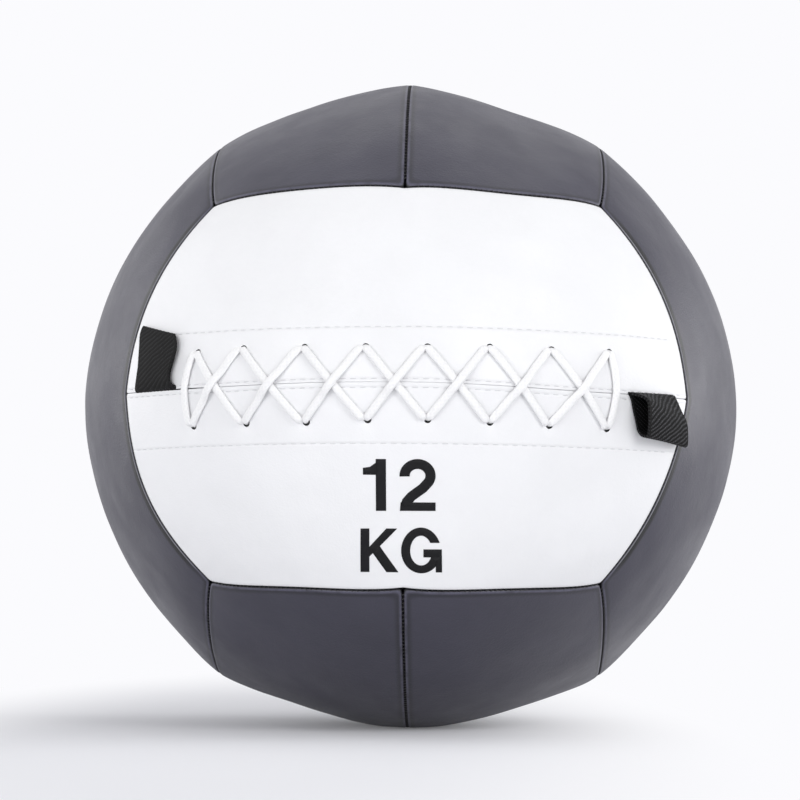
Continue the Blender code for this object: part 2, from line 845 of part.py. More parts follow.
def build():
    """Model the whole ball."""
    clear_scene()
    group = make_collection("wall_ball")
    cutters = make_collection("cutters")
    centre = bpy.data.objects.new("ball_centre", None)
    centre.location = ball_centre
    group.objects.link(centre)

    covers = {name: make_panel(name, group, centre) for name in panels}
    for name in panels:
        make_pad(name, group, centre)
    base_cutter = make_base_cutter(cutters, centre)
    cut(covers["bottom_left"], base_cutter)
    cut(covers["bottom_right"], base_cutter)

    upper_holes = make_hole_cutter("upper_hole_cutter", hole_rise, cutters, centre)
    lower_holes = make_hole_cutter("lower_hole_cutter", -hole_rise, cutters, centre)
    for name, holes in (("front_upper", upper_holes), ("front_lower", lower_holes)):
        cut(covers[name], holes)
        cut(make_facing(name, group, centre), holes)
    make_tongue(group, centre)
    make_lace(group, centre)
    make_loops(group, centre)

    mouth = make_mouth_cutter(cutters, centre)
    cavity = make_cavity_cutter(cutters, centre)
    bag = make_object("inner_bag", layer_shape(bag_depth), group, centre)
    thicken(bag, bag_thickness)
    dress(bag, cloth_white, 0.9)
    cut(bag, mouth)
    filling = make_object("fibre_filling", layer_shape(filling_depth), group, centre)
    dress(filling, fibre, 0.95)
    cut(filling, cavity)
    cut(filling, mouth)
    make_ballast_bag(group, centre)
    make_ballast(group, centre)


build()
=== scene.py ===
"""The looks of a soft wall ball: sewn leather panels, lace, webbing loops, stitches and studio.

Places on the ball count from its middle, in metres, until new_piece moves them to the frame. On the
laced face a place is a run along the slit, a rise up from it and a lift out from the leather.
"""

import json
import math

import bmesh
import bpy
import numpy as np
from mathutils import Matrix, Vector, noise
from mathutils.bvhtree import BVHTree


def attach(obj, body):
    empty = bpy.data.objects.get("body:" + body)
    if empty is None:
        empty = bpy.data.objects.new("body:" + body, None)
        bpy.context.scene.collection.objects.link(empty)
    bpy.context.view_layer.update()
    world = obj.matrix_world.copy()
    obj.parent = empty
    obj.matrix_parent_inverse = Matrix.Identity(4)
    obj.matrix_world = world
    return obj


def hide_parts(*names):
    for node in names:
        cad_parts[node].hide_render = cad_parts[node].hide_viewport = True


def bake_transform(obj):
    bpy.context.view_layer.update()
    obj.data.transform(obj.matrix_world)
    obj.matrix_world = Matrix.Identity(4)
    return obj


# Ball and seam layout, as in the solids
ball_width = 0.350
ball_height = 0.3457
press_depth = 0.0015
base_cut_depth = 0.0005
lace_proud = 0.0078
laced_seam_angle = 54.1
level_seam_angle = 55.5
side_seam_angle = 55.4
corner_direction_shares = (0.985, 1.0, 0.963)
corner_drop_share = 0.03
front_dip_share = 0.022
rear_dip_share = 0.022
side_dip_share = 0.012
top_left_dip_share = 0.020
top_right_dip_share = 0.031
bottom_left_dip_share = 0.016
bottom_right_dip_share = 0.012
swell_table = ((0.0, 0.010, 14.0), (-side_seam_angle, 0.016, 7.5), (41.0, -0.012, 14.0))
seam_gap = 0.0003

# Sewn seam lines: how far each half of a far edge is drawn into its own panel, and how full that is
usual_pull = 0.0040
seam_pulls = {
    ("front_upper", "far_start"): 0.0046,
    ("front_upper", "far_end"): 0.0073,
    ("front_lower", "far_start"): 0.0052,
    ("front_lower", "far_end"): 0.0055,
    ("left_front", "far_start"): 0.0026,
    ("left_front", "far_end"): 0.0063,
    ("right_front", "far_start"): 0.0008,
    ("right_front", "far_end"): 0.0022,
}
pull_spread = 16.0
pull_fullness = 1.3

# The slit hangs a little towards its ends: run where that starts, run where it is full, drop
slit_sags = ((0.0, 0.1050, 0.0027), (-0.0300, -0.1000, 0.0008))
sag_spread = 0.022

# Cover
leather_thickness = 0.0013
roll_radius = 0.0017
hem_radius = 0.0003
hem_gap = 0.00006
slit_opening = 0.0006
slit_opening_run = -0.1110
slit_opening_reach = 0.012
roll_turns = (22, 45, 68, 90)
flange_depth = 0.0060
cover_columns = 64
laced_columns = 112
relief_height = 0.0005
relief_scales = (26.0, 55.0)
pucker_height = 0.0005
pucker_reach = 0.014
pucker_pitch = 0.011
pucker_length = 0.03
cloth_frames = 18
cloth_cap = 0.0035
crown_distance = 0.02

# Painted shade and highlights beside the seams: where each starts, is full, starts to fade and
# ends, from the seam
beside_shade_band = (0.0012, 0.0018, 0.0022, 0.0050)
edge_highlight_band = (0.0004, 0.0008, 0.0012, 0.0018)
crest_highlight_band = (0.0007, 0.0010, 0.0011, 0.0014)
fold_shade_band = (0.0012, 0.0015, 0.0034, 0.0056)
crest_highlight_colour = (0.24, 0.24, 0.25)
groove_reach = 0.0011

# Where the painted crest highlight and fold shade of the laced face's side seams fade: to the side,
# behind and towards the corners
side_fade = (0.078, 0.084)
forward_fade = (-0.085, -0.078)
corner_fade = (0.082, 0.094)

# Lace holes and lace: handmade, so no two columns are quite alike
upper_hole_runs = (-0.1108, -0.0827, -0.0497, -0.0191, 0.0109, 0.0415, 0.0737, 0.1072)
lower_hole_runs = (-0.1129, -0.0811, -0.0491, -0.0183, 0.0115, 0.0421, 0.0727, 0.1061)
upper_hole_rises = (0.0171, 0.0178, 0.0175, 0.0174, 0.0173, 0.0177, 0.0175, 0.0179)
lower_hole_rises = (-0.0189, -0.0185, -0.0186, -0.0176, -0.0174, -0.0183, -0.0191, -0.0196)
lower_hole_shifts = (0.0010, 0.0016, 0.0018, 0.0015, 0.0008, 0.0008, 0.0010, 0.0008)
upper_hole_shift = 0.0012
hole_radius = 0.0018
hole_outset = 0.0006
hole_dimple_depth = 0.0009
hole_dimple_reach = 0.0048
punch_length = 0.014
lace_width = 0.0040
lace_thickness = 0.0022
lace_pinch_share = 0.72
lace_clearance = 0.0002
lace_half_spread = 0.0010
lace_near_depth = 0.0060
lace_far_depth = 0.0092
lace_step = 0.0007
plait_pitch = 0.0026
plait_strands = 5
left_bar_bow = -0.0034
right_bar_bow = 0.0018

# Stitches
hem_stitch_rises = (0.0017, -0.0025)
upper_facing_rise = 0.0276
lower_facing_rise = -0.0298
stitch_length = 0.0033
stitch_pitch = 0.0050
stitch_radius = 0.00022
seam_stitch_pitch = 0.0026
seam_stitch_half = 0.0010
seam_stitch_depth = 0.0007
seam_stitch_reach = 0.0012
seam_stitch_slant = 0.18
seam_stitch_bow = 0.0002
seam_stitch_radius = 0.00028

# Printed mark: its lift over the leather, its thickness and the cells it is bent in
print_lift = 0.00016
print_thickness = 0.0002
print_cell = 0.0022

# Webbing loops
strap_width = 0.0300
strap_thickness = 0.0015
left_loop_angle = -45.8
right_loop_angle = 43.0
rib_pitch = 0.0019
rib_height = 0.00022
rib_angle = 48
rib_waver = 0.25
bead_pitch = rib_pitch * 0.62
selvedge_width = 0.0012
strap_cells = 92
strap_steps = 190

# Layers inside, as in the solids
facing_depth = 0.0037
tongue_depth = 0.0139
pad_depth = 0.0042
allowance_depth = 0.0154
bag_depth = 0.0161
filling_depth = 0.0183
pad_inset = 0.0051
pad_clearance = 0.0004
pad_bulge = 0.0003
tongue_clearance = 0.003
facing_width = 0.0300
facing_length_share = 0.965
tongue_width = 0.0680
tongue_length = 0.2400
bag_mouth_radius = 0.0340
ballast_bag_radius = 0.0600
ballast_neck_radius = 0.0110
ballast_neck_length = 0.0220
cavity_clearance = 0.0025

# Cloth thicknesses there, and each wrinkled skin's depth of wrinkle and scale
facing_thickness = 0.0014
tongue_thickness = 0.0013
bag_thickness = 0.0006
canvas_thickness = 0.0016
bag_wrinkles = (0.0007, 45.0)
fibre_wrinkles = (0.0035, 70.0)
gather_count = 16
gather_reach = 0.030
gather_depth = 0.10
gather_share = 0.6
neck_shrink = 0.03
canvas_wrinkle = 0.0004

# Camera, measured on the photograph in its pixels and in degrees
frame_pixels = 800
focal_pixels = 2575
middle_shift = (-10.3, 7.3)
camera_reach = 8
camera_azimuth = 1.28
camera_elevation = -3.97
camera_roll = 0.3

# Studio: each lamp's place, size and power, and how the floor fades into the backdrop
lamp_table = (
    ("key", (1.6, -1.9, 1.1), (1.0, 1.0), 22),
    ("fill", (-1.3, -2.1, 0.4), (1.6, 1.4), 23),
    ("overhead", (0.0, 0.6, 2.2), (1.8, 1.2), 5),
    ("right_edge", (1.6, 0.5, 0.3), (0.5, 1.0), 11),
    ("left_edge", (-1.6, 0.6, 0.6), (0.4, 1.2), 7),
)
world_light = 0.526
backdrop_colour = (0.965, 0.965, 0.99, 1.0)
fade_shift = (0.08, 0.10, 0.0)
fade_scale = (3.0, 0.7, 1.0)
fade_span = (0.25, 0.75, 0.10, 1.0)

half_width = ball_width / 2
half_height = (ball_height + press_depth + base_cut_depth) / 2
flatten = np.array((1.0, 1.0, half_height / half_width))
ball_centre = np.array((0.0, lace_proud / 2, half_height - press_depth - base_cut_depth))

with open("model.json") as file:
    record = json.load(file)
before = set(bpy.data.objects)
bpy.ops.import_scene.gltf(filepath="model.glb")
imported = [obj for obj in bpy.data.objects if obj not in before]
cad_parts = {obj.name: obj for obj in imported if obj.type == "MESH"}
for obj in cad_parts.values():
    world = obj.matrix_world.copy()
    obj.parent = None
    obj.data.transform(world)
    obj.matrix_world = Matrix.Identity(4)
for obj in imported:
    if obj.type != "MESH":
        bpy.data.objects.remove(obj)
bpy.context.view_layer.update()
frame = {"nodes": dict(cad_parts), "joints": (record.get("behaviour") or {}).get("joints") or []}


def unit(vector):
    """The vector at length one."""
    return vector / np.linalg.norm(vector)


def arc_point(start, end, share):
    """A direction part of the way along the great circle from one direction to another."""
    angle = math.acos(float(np.dot(start, end)))
    first = math.sin((1 - share) * angle)
    second = math.sin(share * angle)
    return (start * first + end * second) / math.sin(angle)


def angle_between(first, second):
    """The angle between two directions, in radians."""
    return math.acos(min(1.0, float(np.dot(first, second))))


def settling(direction):
    """How much further out the settled filling holds the cover, as a share of the radius."""
    outward = np.array((abs(direction[0]), direction[1], direction[2]))
    total = 0.0
    for elevation, share, spread in swell_table:
        turn = math.radians(elevation)
        crest = np.array((math.cos(turn), 0.0, math.sin(turn)))
        away = math.degrees(angle_between(outward, crest)) / spread
        total += share * math.exp(-(away ** 2))
    return total


class Panel:
    """A five-sided panel of the cover, with places as shares along and across it."""

    def __init__(self, normal, across, near_angle, far_angle, dip_share):
        normal = np.array(normal, dtype=float)
        across = np.array(across, dtype=float)
        along = np.cross(across, normal)
        near = math.radians(near_angle)
        far = math.radians(far_angle)
        shares = np.array(corner_direction_shares)
        self.dip_share = dip_share
        self.start = normal * math.cos(near) - along * math.sin(near)
        self.end = normal * math.cos(near) + along * math.sin(near)
        self.far_start = unit((normal - along + across) * shares)
        self.far_end = unit((normal + along + across) * shares)
        self.far_middle = across * math.cos(far) + normal * math.sin(far)

    def edges(self):
        """The edges in order round the panel, each as its two ends."""
        return {
            "near": (self.start, self.end),
            "end": (self.end, self.far_end),
            "far_end": (self.far_end, self.far_middle),
            "far_start": (self.far_middle, self.far_start),
            "start": (self.far_start, self.start),
        }

    def far_edge(self, along):
        """A direction on the far edge."""
        if along < 0.5:
            return arc_point(self.far_start, self.far_middle, 2 * along)
        return arc_point(self.far_middle, self.far_end, 2 * along - 1)

    def direction(self, along, across):
        """A direction on the panel, blended from its four sides."""
        near = arc_point(self.start, self.end, along)
        far = self.far_edge(along)
        start = arc_point(self.start, self.far_start, across)
        end = arc_point(self.end, self.far_end, across)
        near_ends = (1 - along) * self.start + along * self.end
        far_ends = (1 - along) * self.far_start + along * self.far_end
        ruled = (1 - across) * near + across * far + (1 - along) * start + along * end
        return unit(ruled - (1 - across) * near_ends - across * far_ends)

    def radius(self, along, across):
        """How far the surface lies from the middle: low at corners, flatter between seams."""
        side = 2 * along - 1
        dip = (4 * across * (1 - across) + math.sin(math.pi * across) ** 2) / 2
        drop = corner_drop_share * (across * side) ** 2
        form = 1 - drop - self.dip_share * dip * (1 - side ** 4)
        return half_width * form * (1 + settling(self.direction(along, across)))

    def point(self, along, across, depth):
        """A place at a depth under the surface, from the middle of the ball."""
        place = (self.radius(along, across) - depth) * self.direction(along, across) * flatten
        place[2] = max(place[2], depth - ball_centre[2])
        return place

    def row_lengths(self, rows):
        """The lengths of evenly shared rows, from the near edge to the far one."""
        return [self.row_length(row / rows) for row in range(rows + 1)]

    def column_lengths(self, columns):
        """The lengths of evenly shared columns, from side to side."""
        return [self.column_length(column / columns) for column in range(columns + 1)]

    def row_length(self, across):
        """The length of the panel from side to side, at a share across it."""
        return half_width * angle_between(self.direction(0.0, across), self.direction(1.0, across))

    def column_length(self, along):
        """The length of the panel from near to far edge, at a share along it."""
        return half_width * angle_between(self.direction(along, 0.0), self.direction(along, 1.0))

    def seam_plane(self, edge):
        """The normal of the plane through a seam and the middle, towards the panel."""
        first, second = self.edges()[edge]
        normal = unit(np.cross(first * flatten, second * flatten))
        inside = self.direction(0.5, 0.5) * flatten
        return normal if np.dot(normal, inside) > 0 else -normal


front = (0, -1, 0)
rear = (0, 1, 0)
left = (-1, 0, 0)
right = (1, 0, 0)
top = (0, 0, 1)
bottom = (0, 0, -1)

panel_table = (
    ("front_upper", front, top, laced_seam_angle, level_seam_angle, front_dip_share),
    ("front_lower", front, bottom, laced_seam_angle, level_seam_angle, front_dip_share),
    ("rear_upper", rear, top, laced_seam_angle, level_seam_angle, rear_dip_share),
    ("rear_lower", rear, bottom, laced_seam_angle, level_seam_angle, rear_dip_share),
    ("left_front", left, front, side_seam_angle, laced_seam_angle, side_dip_share),
    ("left_rear", left, rear, side_seam_angle, laced_seam_angle, side_dip_share),
    ("right_front", right, front, side_seam_angle, laced_seam_angle, side_dip_share),
    ("right_rear", right, rear, side_seam_angle, laced_seam_angle, side_dip_share),
    ("top_left", top, left, level_seam_angle, side_seam_angle, top_left_dip_share),
    ("top_right", top, right, level_seam_angle, side_seam_angle, top_right_dip_share),
    ("bottom_left", bottom, left, level_seam_angle, side_seam_angle, bottom_left_dip_share),
    ("bottom_right", bottom, right, level_seam_angle, side_seam_angle, bottom_right_dip_share),
)
panels = {name: Panel(*facts) for name, *facts in panel_table}
laced = ("front_upper", "front_lower")


def cells(places):
    """How many rows and columns of cells a grid of places has."""
    return places.shape[0] - 1, places.shape[1] - 1


def grid_faces(rows, columns, first=0):
    """The corners of each cell of a grid whose places are numbered row by row from a first one."""
    wide = columns + 1
    starts = [first + row * wide + column for row in range(rows) for column in range(columns)]
    return [(start, start + 1, start + wide + 1, start + wide) for start in starts]


def grid_of(rows, columns, place, *facts):
    """A grid of places, each from its row and column by a function that may need facts first."""
    return [
        [place(*facts, row, column) for column in range(columns + 1)] for row in range(rows + 1)
    ]


def face_direction(run, rise):
    """The direction of a place on the laced face: true distances along the slit and up from it."""
    lift = rise / half_width
    level = math.cos(lift)
    turn = run / (half_width * level)
    return np.array((math.sin(turn) * level, -math.cos(turn) * level, math.sin(lift)))


def face_place(places):
    """Run along the slit and rise from it of places on the laced face."""
    directions = places / flatten
    directions = directions / np.linalg.norm(directions, axis=-1, keepdims=True)
    lift = np.arcsin(directions[..., 2])
    turn = np.arctan2(directions[..., 0], -directions[..., 1])
    return half_width * np.cos(lift) * turn, half_width * lift


def slit_drop(run, rise):
    """How far the hanging slit takes a place of the laced face down."""
    drop = 0.0
    for start, full, most in slit_sags:
        share = np.clip((run - start) / (full - start), 0.0, 1.0)
        drop = drop + most * share * share * (3 - 2 * share)
    return drop * np.exp(-(rise / sag_spread) ** 2)


def seam_lines():
    """Both ends, pull direction and pull of each half of every far edge."""
    lines = []
    for name, panel in panels.items():
        for edge in ("far_start", "far_end"):
            first, second = panel.edges()[edge]
            inward = unit(np.cross(first, second))
            if np.dot(inward, panel.direction(0.5, 0.5)) < 0:
                inward = -inward
            lines.append((first, second, inward, seam_pulls.get((name, edge), usual_pull)))
    return lines


sewn_lines = seam_lines()


def draw_seams(places):
    """Places on or under the cover, moved along it as the sewn seams and the slit draw it."""
    radii = np.linalg.norm(places / flatten, axis=-1, keepdims=True)
    directions = places / flatten / radii
    moved = directions.copy()
    for first, second, inward, pull in sewn_lines:
        away = np.degrees(np.arcsin(np.clip(directions @ inward, -1.0, 1.0)))
        ahead = unit(second - first * np.dot(first, second))
        share = np.arctan2(directions @ ahead, directions @ first) / angle_between(first, second)
        weight = np.sin(math.pi * np.clip(share, 0.0, 1.0)) ** pull_fullness
        weight = weight * np.exp(-(away / pull_spread) ** 2)
        moved += inward * (weight * pull / half_width)[..., None]
    run, rise = face_place(places)
    on_front = directions[..., 1] < 0
    moved[..., 2] -= np.where(on_front, slit_drop(run, rise), 0.0) / half_width
    moved /= np.linalg.norm(moved, axis=-1, keepdims=True)
    return moved * radii * flatten


class Nodes:
    """A material's node tree, with short ways to add and join nodes."""

    def __init__(self, name, roughness=0.5):
        self.material = bpy.data.materials.new(name)
        self.material.use_nodes = True
        self.tree = self.material.node_tree
        self.shader = self.tree.nodes["Principled BSDF"]
        self.shader.inputs["Roughness"].default_value = roughness
        self.coordinates = self.tree.nodes.new("ShaderNodeTexCoord")

    def link(self, source, target):
        """Join an output to an input."""
        self.tree.links.new(source, target)

    def add(self, kind, **values):
        """A new node with some of its inputs set."""
        node = self.tree.nodes.new("ShaderNode" + kind)
        for name, value in values.items():
            node.inputs[name].default_value = value
        return node

    def texture(self, kind, **values):
        """A texture node on the object's own places."""
        node = self.add("Tex" + kind, **values)
        self.link(self.coordinates.outputs["Object"], node.inputs["Vector"])
        return node

    def colour(self, output):
        """Use an output as the surface's colour."""
        self.link(output, self.shader.inputs["Base Color"])

    def noise(self, scale, detail=4.0, rough=0.55):
        """Noise as a value."""
        return self.texture("Noise", Scale=scale, Detail=detail, Roughness=rough).outputs["Fac"]

    def cells(self, scale):
        """Cell texture as a distance."""
        return self.texture("Voronoi", Scale=scale).outputs["Distance"]

    def span(self, value, low, high, new_low=0.0, new_high=1.0):
        """A value moved smoothly from one range to another."""
        node = self.add("MapRange")
        node.interpolation_type = "SMOOTHSTEP"
        names = ("From Min", "From Max", "To Min", "To Max")
        for name, number in zip(names, (low, high, new_low, new_high)):
            node.inputs[name].default_value = number
        self.link(value, node.inputs["Value"])
        return node.outputs["Result"]

    def band(self, value, low, high, fall, end):
        """One between a smooth rise and a smooth fall of a value, and nothing outside them."""
        risen = self.span(value, low, high)
        return self.math("MULTIPLY", risen, self.span(value, fall, end, 1.0, 0.0))

    def math(self, operation, first, second=0.0):
        """Arithmetic on two values, each a number or an output."""
        node = self.add("Math")
        node.operation = operation
        for socket, value in zip(node.inputs, (first, second)):
            if isinstance(value, (int, float)):
                socket.default_value = value
            else:
                self.link(value, socket)
        return node.outputs["Value"]

    def vector(self, operation, value, constant=(0.0, 0.0, 0.0)):
        """Arithmetic on a vector and a constant one."""
        node = self.add("VectorMath")
        node.operation = operation
        node.inputs[1].default_value = constant
        self.link(value, node.inputs[0])
        return node.outputs["Value" if operation == "LENGTH" else "Vector"]

    def mix(self, share, first, second):
        """A colour between two colours."""
        node = self.add("Mix")
        node.data_type = "RGBA"
        self.link(share, node.inputs["Factor"])
        for socket, colour in ((node.inputs[6], first), (node.inputs[7], second)):
            if isinstance(colour, tuple):
                socket.default_value = (*colour, 1.0)
            else:
                self.link(colour, socket)
        return node.outputs[2]

    def bump(self, height, distance, strength=1.0, before=None):
        """Bump the surface, over an earlier bump if there is one."""
        node = self.add("Bump", Strength=strength, Distance=distance)
        self.link(height, node.inputs["Height"])
        if before is not None:
            self.link(before, node.inputs["Normal"])
        self.link(node.outputs["Normal"], self.shader.inputs["Normal"])
        return node.outputs["Normal"]

    def parts(self, kind):
        """The three parts of a coordinate of the surface."""
        node = self.add("SeparateXYZ")
        self.link(self.coordinates.outputs[kind], node.inputs[0])
        return node.outputs

    def attribute(self, name):
        """A value painted on the mesh."""
        node = self.add("Attribute")
        node.attribute_name = name
        return node.outputs["Fac"]


def face_side_share(nodes):
    """One along the left and right seams of the laced face, and nothing elsewhere."""
    parts = nodes.parts("Object")
    sideways = nodes.span(nodes.math("ABSOLUTE", parts[0]), *side_fade)
    forward = nodes.span(parts[1], *forward_fade, 1.0, 0.0)
    height = nodes.math("SUBTRACT", parts[2], float(ball_centre[2]))
    level = nodes.span(nodes.math("ABSOLUTE", height), *corner_fade, 1.0, 0.0)
    return nodes.math("MULTIPLY", nodes.math("MULTIPLY", sideways, forward), level)


def shade(colour, share):
    """A colour made darker or lighter by a share."""
    return tuple(part * share for part in colour)


def leather_finish(nodes, swell, grain, roughness, groove=None):
    """Fine grain over a soft unevenness and any grooves, and patches of more and less shine."""
    scale, depth, strength = swell
    bumped = nodes.bump(nodes.noise(scale, 3.0), depth, strength)
    if groove is not None:
        bumped = nodes.bump(groove, 0.0004, 0.5, bumped)
    fine = nodes.math("MULTIPLY", nodes.noise(2400.0, 3.0), 0.6)
    nodes.bump(nodes.math("ADD", nodes.cells(1000.0), fine), *grain, bumped)
    patch = nodes.span(nodes.noise(30.0, 4.0), 0.3, 0.7, roughness - 0.04, roughness + 0.06)
    nodes.link(patch, nodes.shader.inputs["Roughness"])


def leather_material(name, colour, highlight_share, roughness):
    """Coated leather: fine grain, faint mottling, painted shade beside the seams and a patchy
    painted highlight on the rolled edges.
    """
    nodes = Nodes(name)
    mottle = nodes.span(nodes.noise(24.0, 5.0), 0.35, 0.65)
    tone = nodes.mix(mottle, shade(colour, 0.90), colour)
    away = nodes.attribute("seam_distance")
    # Painted shade beside each seam, where the leather dips towards it.
    tone = nodes.mix(nodes.band(away, *beside_shade_band), tone, shade(colour, 0.50))
    # A patchy painted highlight on the rolled edges.
    patchy = nodes.span(nodes.noise(180.0, 4.0), 0.25, 0.6)
    edge_highlight = nodes.math("MULTIPLY", nodes.band(away, *edge_highlight_band), patchy)
    tone = nodes.mix(edge_highlight, tone, shade(colour, highlight_share))
    face_side = face_side_share(nodes)
    # Along the laced face's side seams: a painted highlight on the rolled crest and painted shade
    # in the fold beside it.
    for band, other in ((crest_highlight_band, crest_highlight_colour), (fold_shade_band, shade(colour, 0.10))):
        line = nodes.math("MULTIPLY", nodes.band(away, *band), face_side)
        tone = nodes.mix(line, tone, other)
    # At the seam itself a dark line: the dark seam thread, and painted shade down in the groove.
    nodes.colour(nodes.mix(nodes.span(away, 0.0003, 0.0007, 1.0, 0.0), tone, shade(colour, 0.12)))
    leather_finish(nodes, (70.0, 0.0010, 0.30), (0.00014, 0.55), roughness)
    return nodes.material


def laced_leather_material(name, colour, roughness):
    """White coated leather with grooves where the stitch lines pull it in, painted shade in those
    grooves, a little darker near the seams and with a dark line at each seam.
    """
    nodes = Nodes(name)
    mottle = nodes.span(nodes.noise(24.0, 5.0), 0.35, 0.65)
    tone = nodes.mix(mottle, shade(colour, 0.975), colour)
    rise = nodes.attribute("rise")
    groove = None
    for line in (*hem_stitch_rises, upper_facing_rise, lower_facing_rise):
        away = nodes.math("ABSOLUTE", nodes.math("SUBTRACT", rise, line))
        dent = nodes.span(away, 0.0, groove_reach)
        groove = dent if groove is None else nodes.math("MINIMUM", groove, dent)
    # Painted shade in the stitch grooves.
    tone = nodes.mix(groove, shade(colour, 0.965), tone)
    away = nodes.attribute("seam_distance")
    # A little darker within 3 mm of a seam; at the seam a dark line: the dark seam thread, and
    # painted shade down in the groove.
    tone = nodes.mix(nodes.span(away, 0.0012, 0.0030, 1.0, 0.0), tone, shade(colour, 0.90))
    nodes.colour(nodes.mix(nodes.span(away, 0.0005, 0.0011, 1.0, 0.0), tone, shade(colour, 0.05)))
    leather_finish(nodes, (60.0, 0.0012, 0.35), (0.00012, 0.5), roughness, groove)
    return nodes.material


def cloth_material(name, colour, scale=900.0, roughness=0.9, depth=0.0002):
    """Plain cloth, foam or fibre: uneven tone and a small rough bump."""
    nodes = Nodes(name, roughness)
    nodes.colour(nodes.mix(nodes.noise(scale / 5, 5.0), shade(colour, 0.75), colour))
    nodes.bump(nodes.noise(scale), depth, 0.8)
    return nodes.material


def lace_material():
    """White braided cord: slanting plaits along the cord, with soft shade between them."""
    nodes = Nodes("braided_lace", 0.75)
    along, girth = nodes.parts("UV")[:2]
    run = nodes.math("MULTIPLY", along, math.tau / plait_pitch)
    ridges = []
    for sense in (1, -1):
        turn = nodes.math("MULTIPLY", girth, math.tau * plait_strands * sense)
        ridges.append(nodes.math("SINE", nodes.math("ADD", run, turn)))
    plait = nodes.math("MAXIMUM", ridges[0], ridges[1])
    fuzz = nodes.math("MULTIPLY", nodes.noise(2500.0), 0.5)
    height = nodes.math("ADD", nodes.math("MULTIPLY", plait, 0.5), fuzz)
    nodes.colour(nodes.mix(nodes.span(plait, 0.0, 0.9), (0.87, 0.87, 0.875), (0.90, 0.90, 0.90)))
    nodes.bump(height, 0.00012, 0.5)
    nodes.shader.inputs["Sheen Weight"].default_value = 0.1
    return nodes.material


def webbing_material(name, groove, crown, shine):
    """Black nylon webbing: the ribs are in the mesh; the yarn, painted shade in the rib grooves and
    faint painted highlight flecks on the rib crowns are here.
    """
    nodes = Nodes(name, 0.70)
    speck = nodes.span(nodes.noise(1500.0, 4.0), 0.35, 0.7)
    rib = nodes.span(nodes.attribute("rib"), 0.35, 0.90)
    # Painted shade: the rib grooves darker, the crowns lighter.
    ribbed = nodes.mix(rib, (groove, groove, groove), (crown, crown, crown * 1.1))
    # Painted highlight: flecks of shine on the rib crowns.
    lit = nodes.math("MULTIPLY", speck, rib)
    nodes.colour(nodes.mix(lit, ribbed, (shine, shine, shine * 1.07)))
    nodes.bump(nodes.noise(2800.0, 3.0), 0.00012, 0.9)
    nodes.shader.inputs["Specular IOR Level"].default_value = 0.12
    return nodes.material


def thread_material(name, colour):
    """Twisted sewing thread."""
    nodes = Nodes(name, 0.6)
    nodes.colour(nodes.mix(nodes.noise(2600.0, 3.0), shade(colour, 0.7), colour))
    nodes.bump(nodes.noise(4000.0, 2.0), 0.0001, 0.7)
    return nodes.material


def ink_material():
    """Matt black print, slightly uneven over the grain."""
    nodes = Nodes("print_ink", 0.5)
    nodes.colour(nodes.mix(nodes.noise(500.0), (0.008, 0.008, 0.009), (0.014, 0.014, 0.016)))
    nodes.bump(nodes.cells(1000.0), 0.0001, 0.5)
    nodes.shader.inputs["Specular IOR Level"].default_value = 0.15
    return nodes.material


def steel_material():
    """Packed steel grit."""
    nodes = Nodes("packed_grit", 0.5)
    grains = nodes.cells(420.0)
    nodes.colour(nodes.mix(grains, (0.10, 0.09, 0.085), (0.34, 0.33, 0.32)))
    nodes.bump(grains, 0.0008)
    nodes.shader.inputs["Metallic"].default_value = 0.8
    return nodes.material


def add_object(name, data):
    """An object in the scene."""
    thing = bpy.data.objects.new(name, data)
    bpy.context.scene.collection.objects.link(thing)
    return thing


def new_piece(name, shape, material, body="ball"):
    """An object from a bmesh whose places count from the middle of the ball."""
    data = bpy.data.meshes.new(name)
    bmesh.ops.translate(shape, verts=list(shape.verts), vec=Vector(ball_centre))
    shape.to_mesh(data)
    shape.free()
    piece = add_object(name, data)
    data.materials.append(material)
    data.shade_smooth()
    if body is not None:
        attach(piece, body)
    return piece


def apply_modifiers(piece, sharp_angle=50):
    """Make a piece's modifiers part of its mesh."""
    graph = bpy.context.evaluated_depsgraph_get()
    done = bpy.data.meshes.new_from_object(piece.evaluated_get(graph))
    piece.modifiers.clear()
    piece.data = done
    done.set_sharp_from_angle(angle=math.radians(sharp_angle))


def form(piece, thickness=0.0, offset=-1.0, smooth=False, cutters=()):
    """Thicken a piece inwards, smoothen it and take cutters out of it, each only if asked for."""
    if thickness:
        shell = piece.modifiers.new("Thickness", "SOLIDIFY")
        shell.thickness = thickness
        shell.offset = offset
    if smooth:
        subdivision = piece.modifiers.new("Smooth", "SUBSURF")
        subdivision.levels = subdivision.render_levels = 1
    for cutter in cutters:
        boolean = piece.modifiers.new("Cut", "BOOLEAN")
        boolean.operation = "DIFFERENCE"
        boolean.solver = "EXACT"
        boolean.object = cutter
    if cutters:
        apply_modifiers(piece)


def add_grid(shape, points):
    """Faces over a grid of places. Returns the grid of vertices."""
    grid = [[shape.verts.new(tuple(place)) for place in line] for line in points]
    for lower, upper in zip(grid, grid[1:]):
        for column in range(len(lower) - 1):
            shape.faces.new((lower[column], lower[column + 1], upper[column + 1], upper[column]))
    return grid


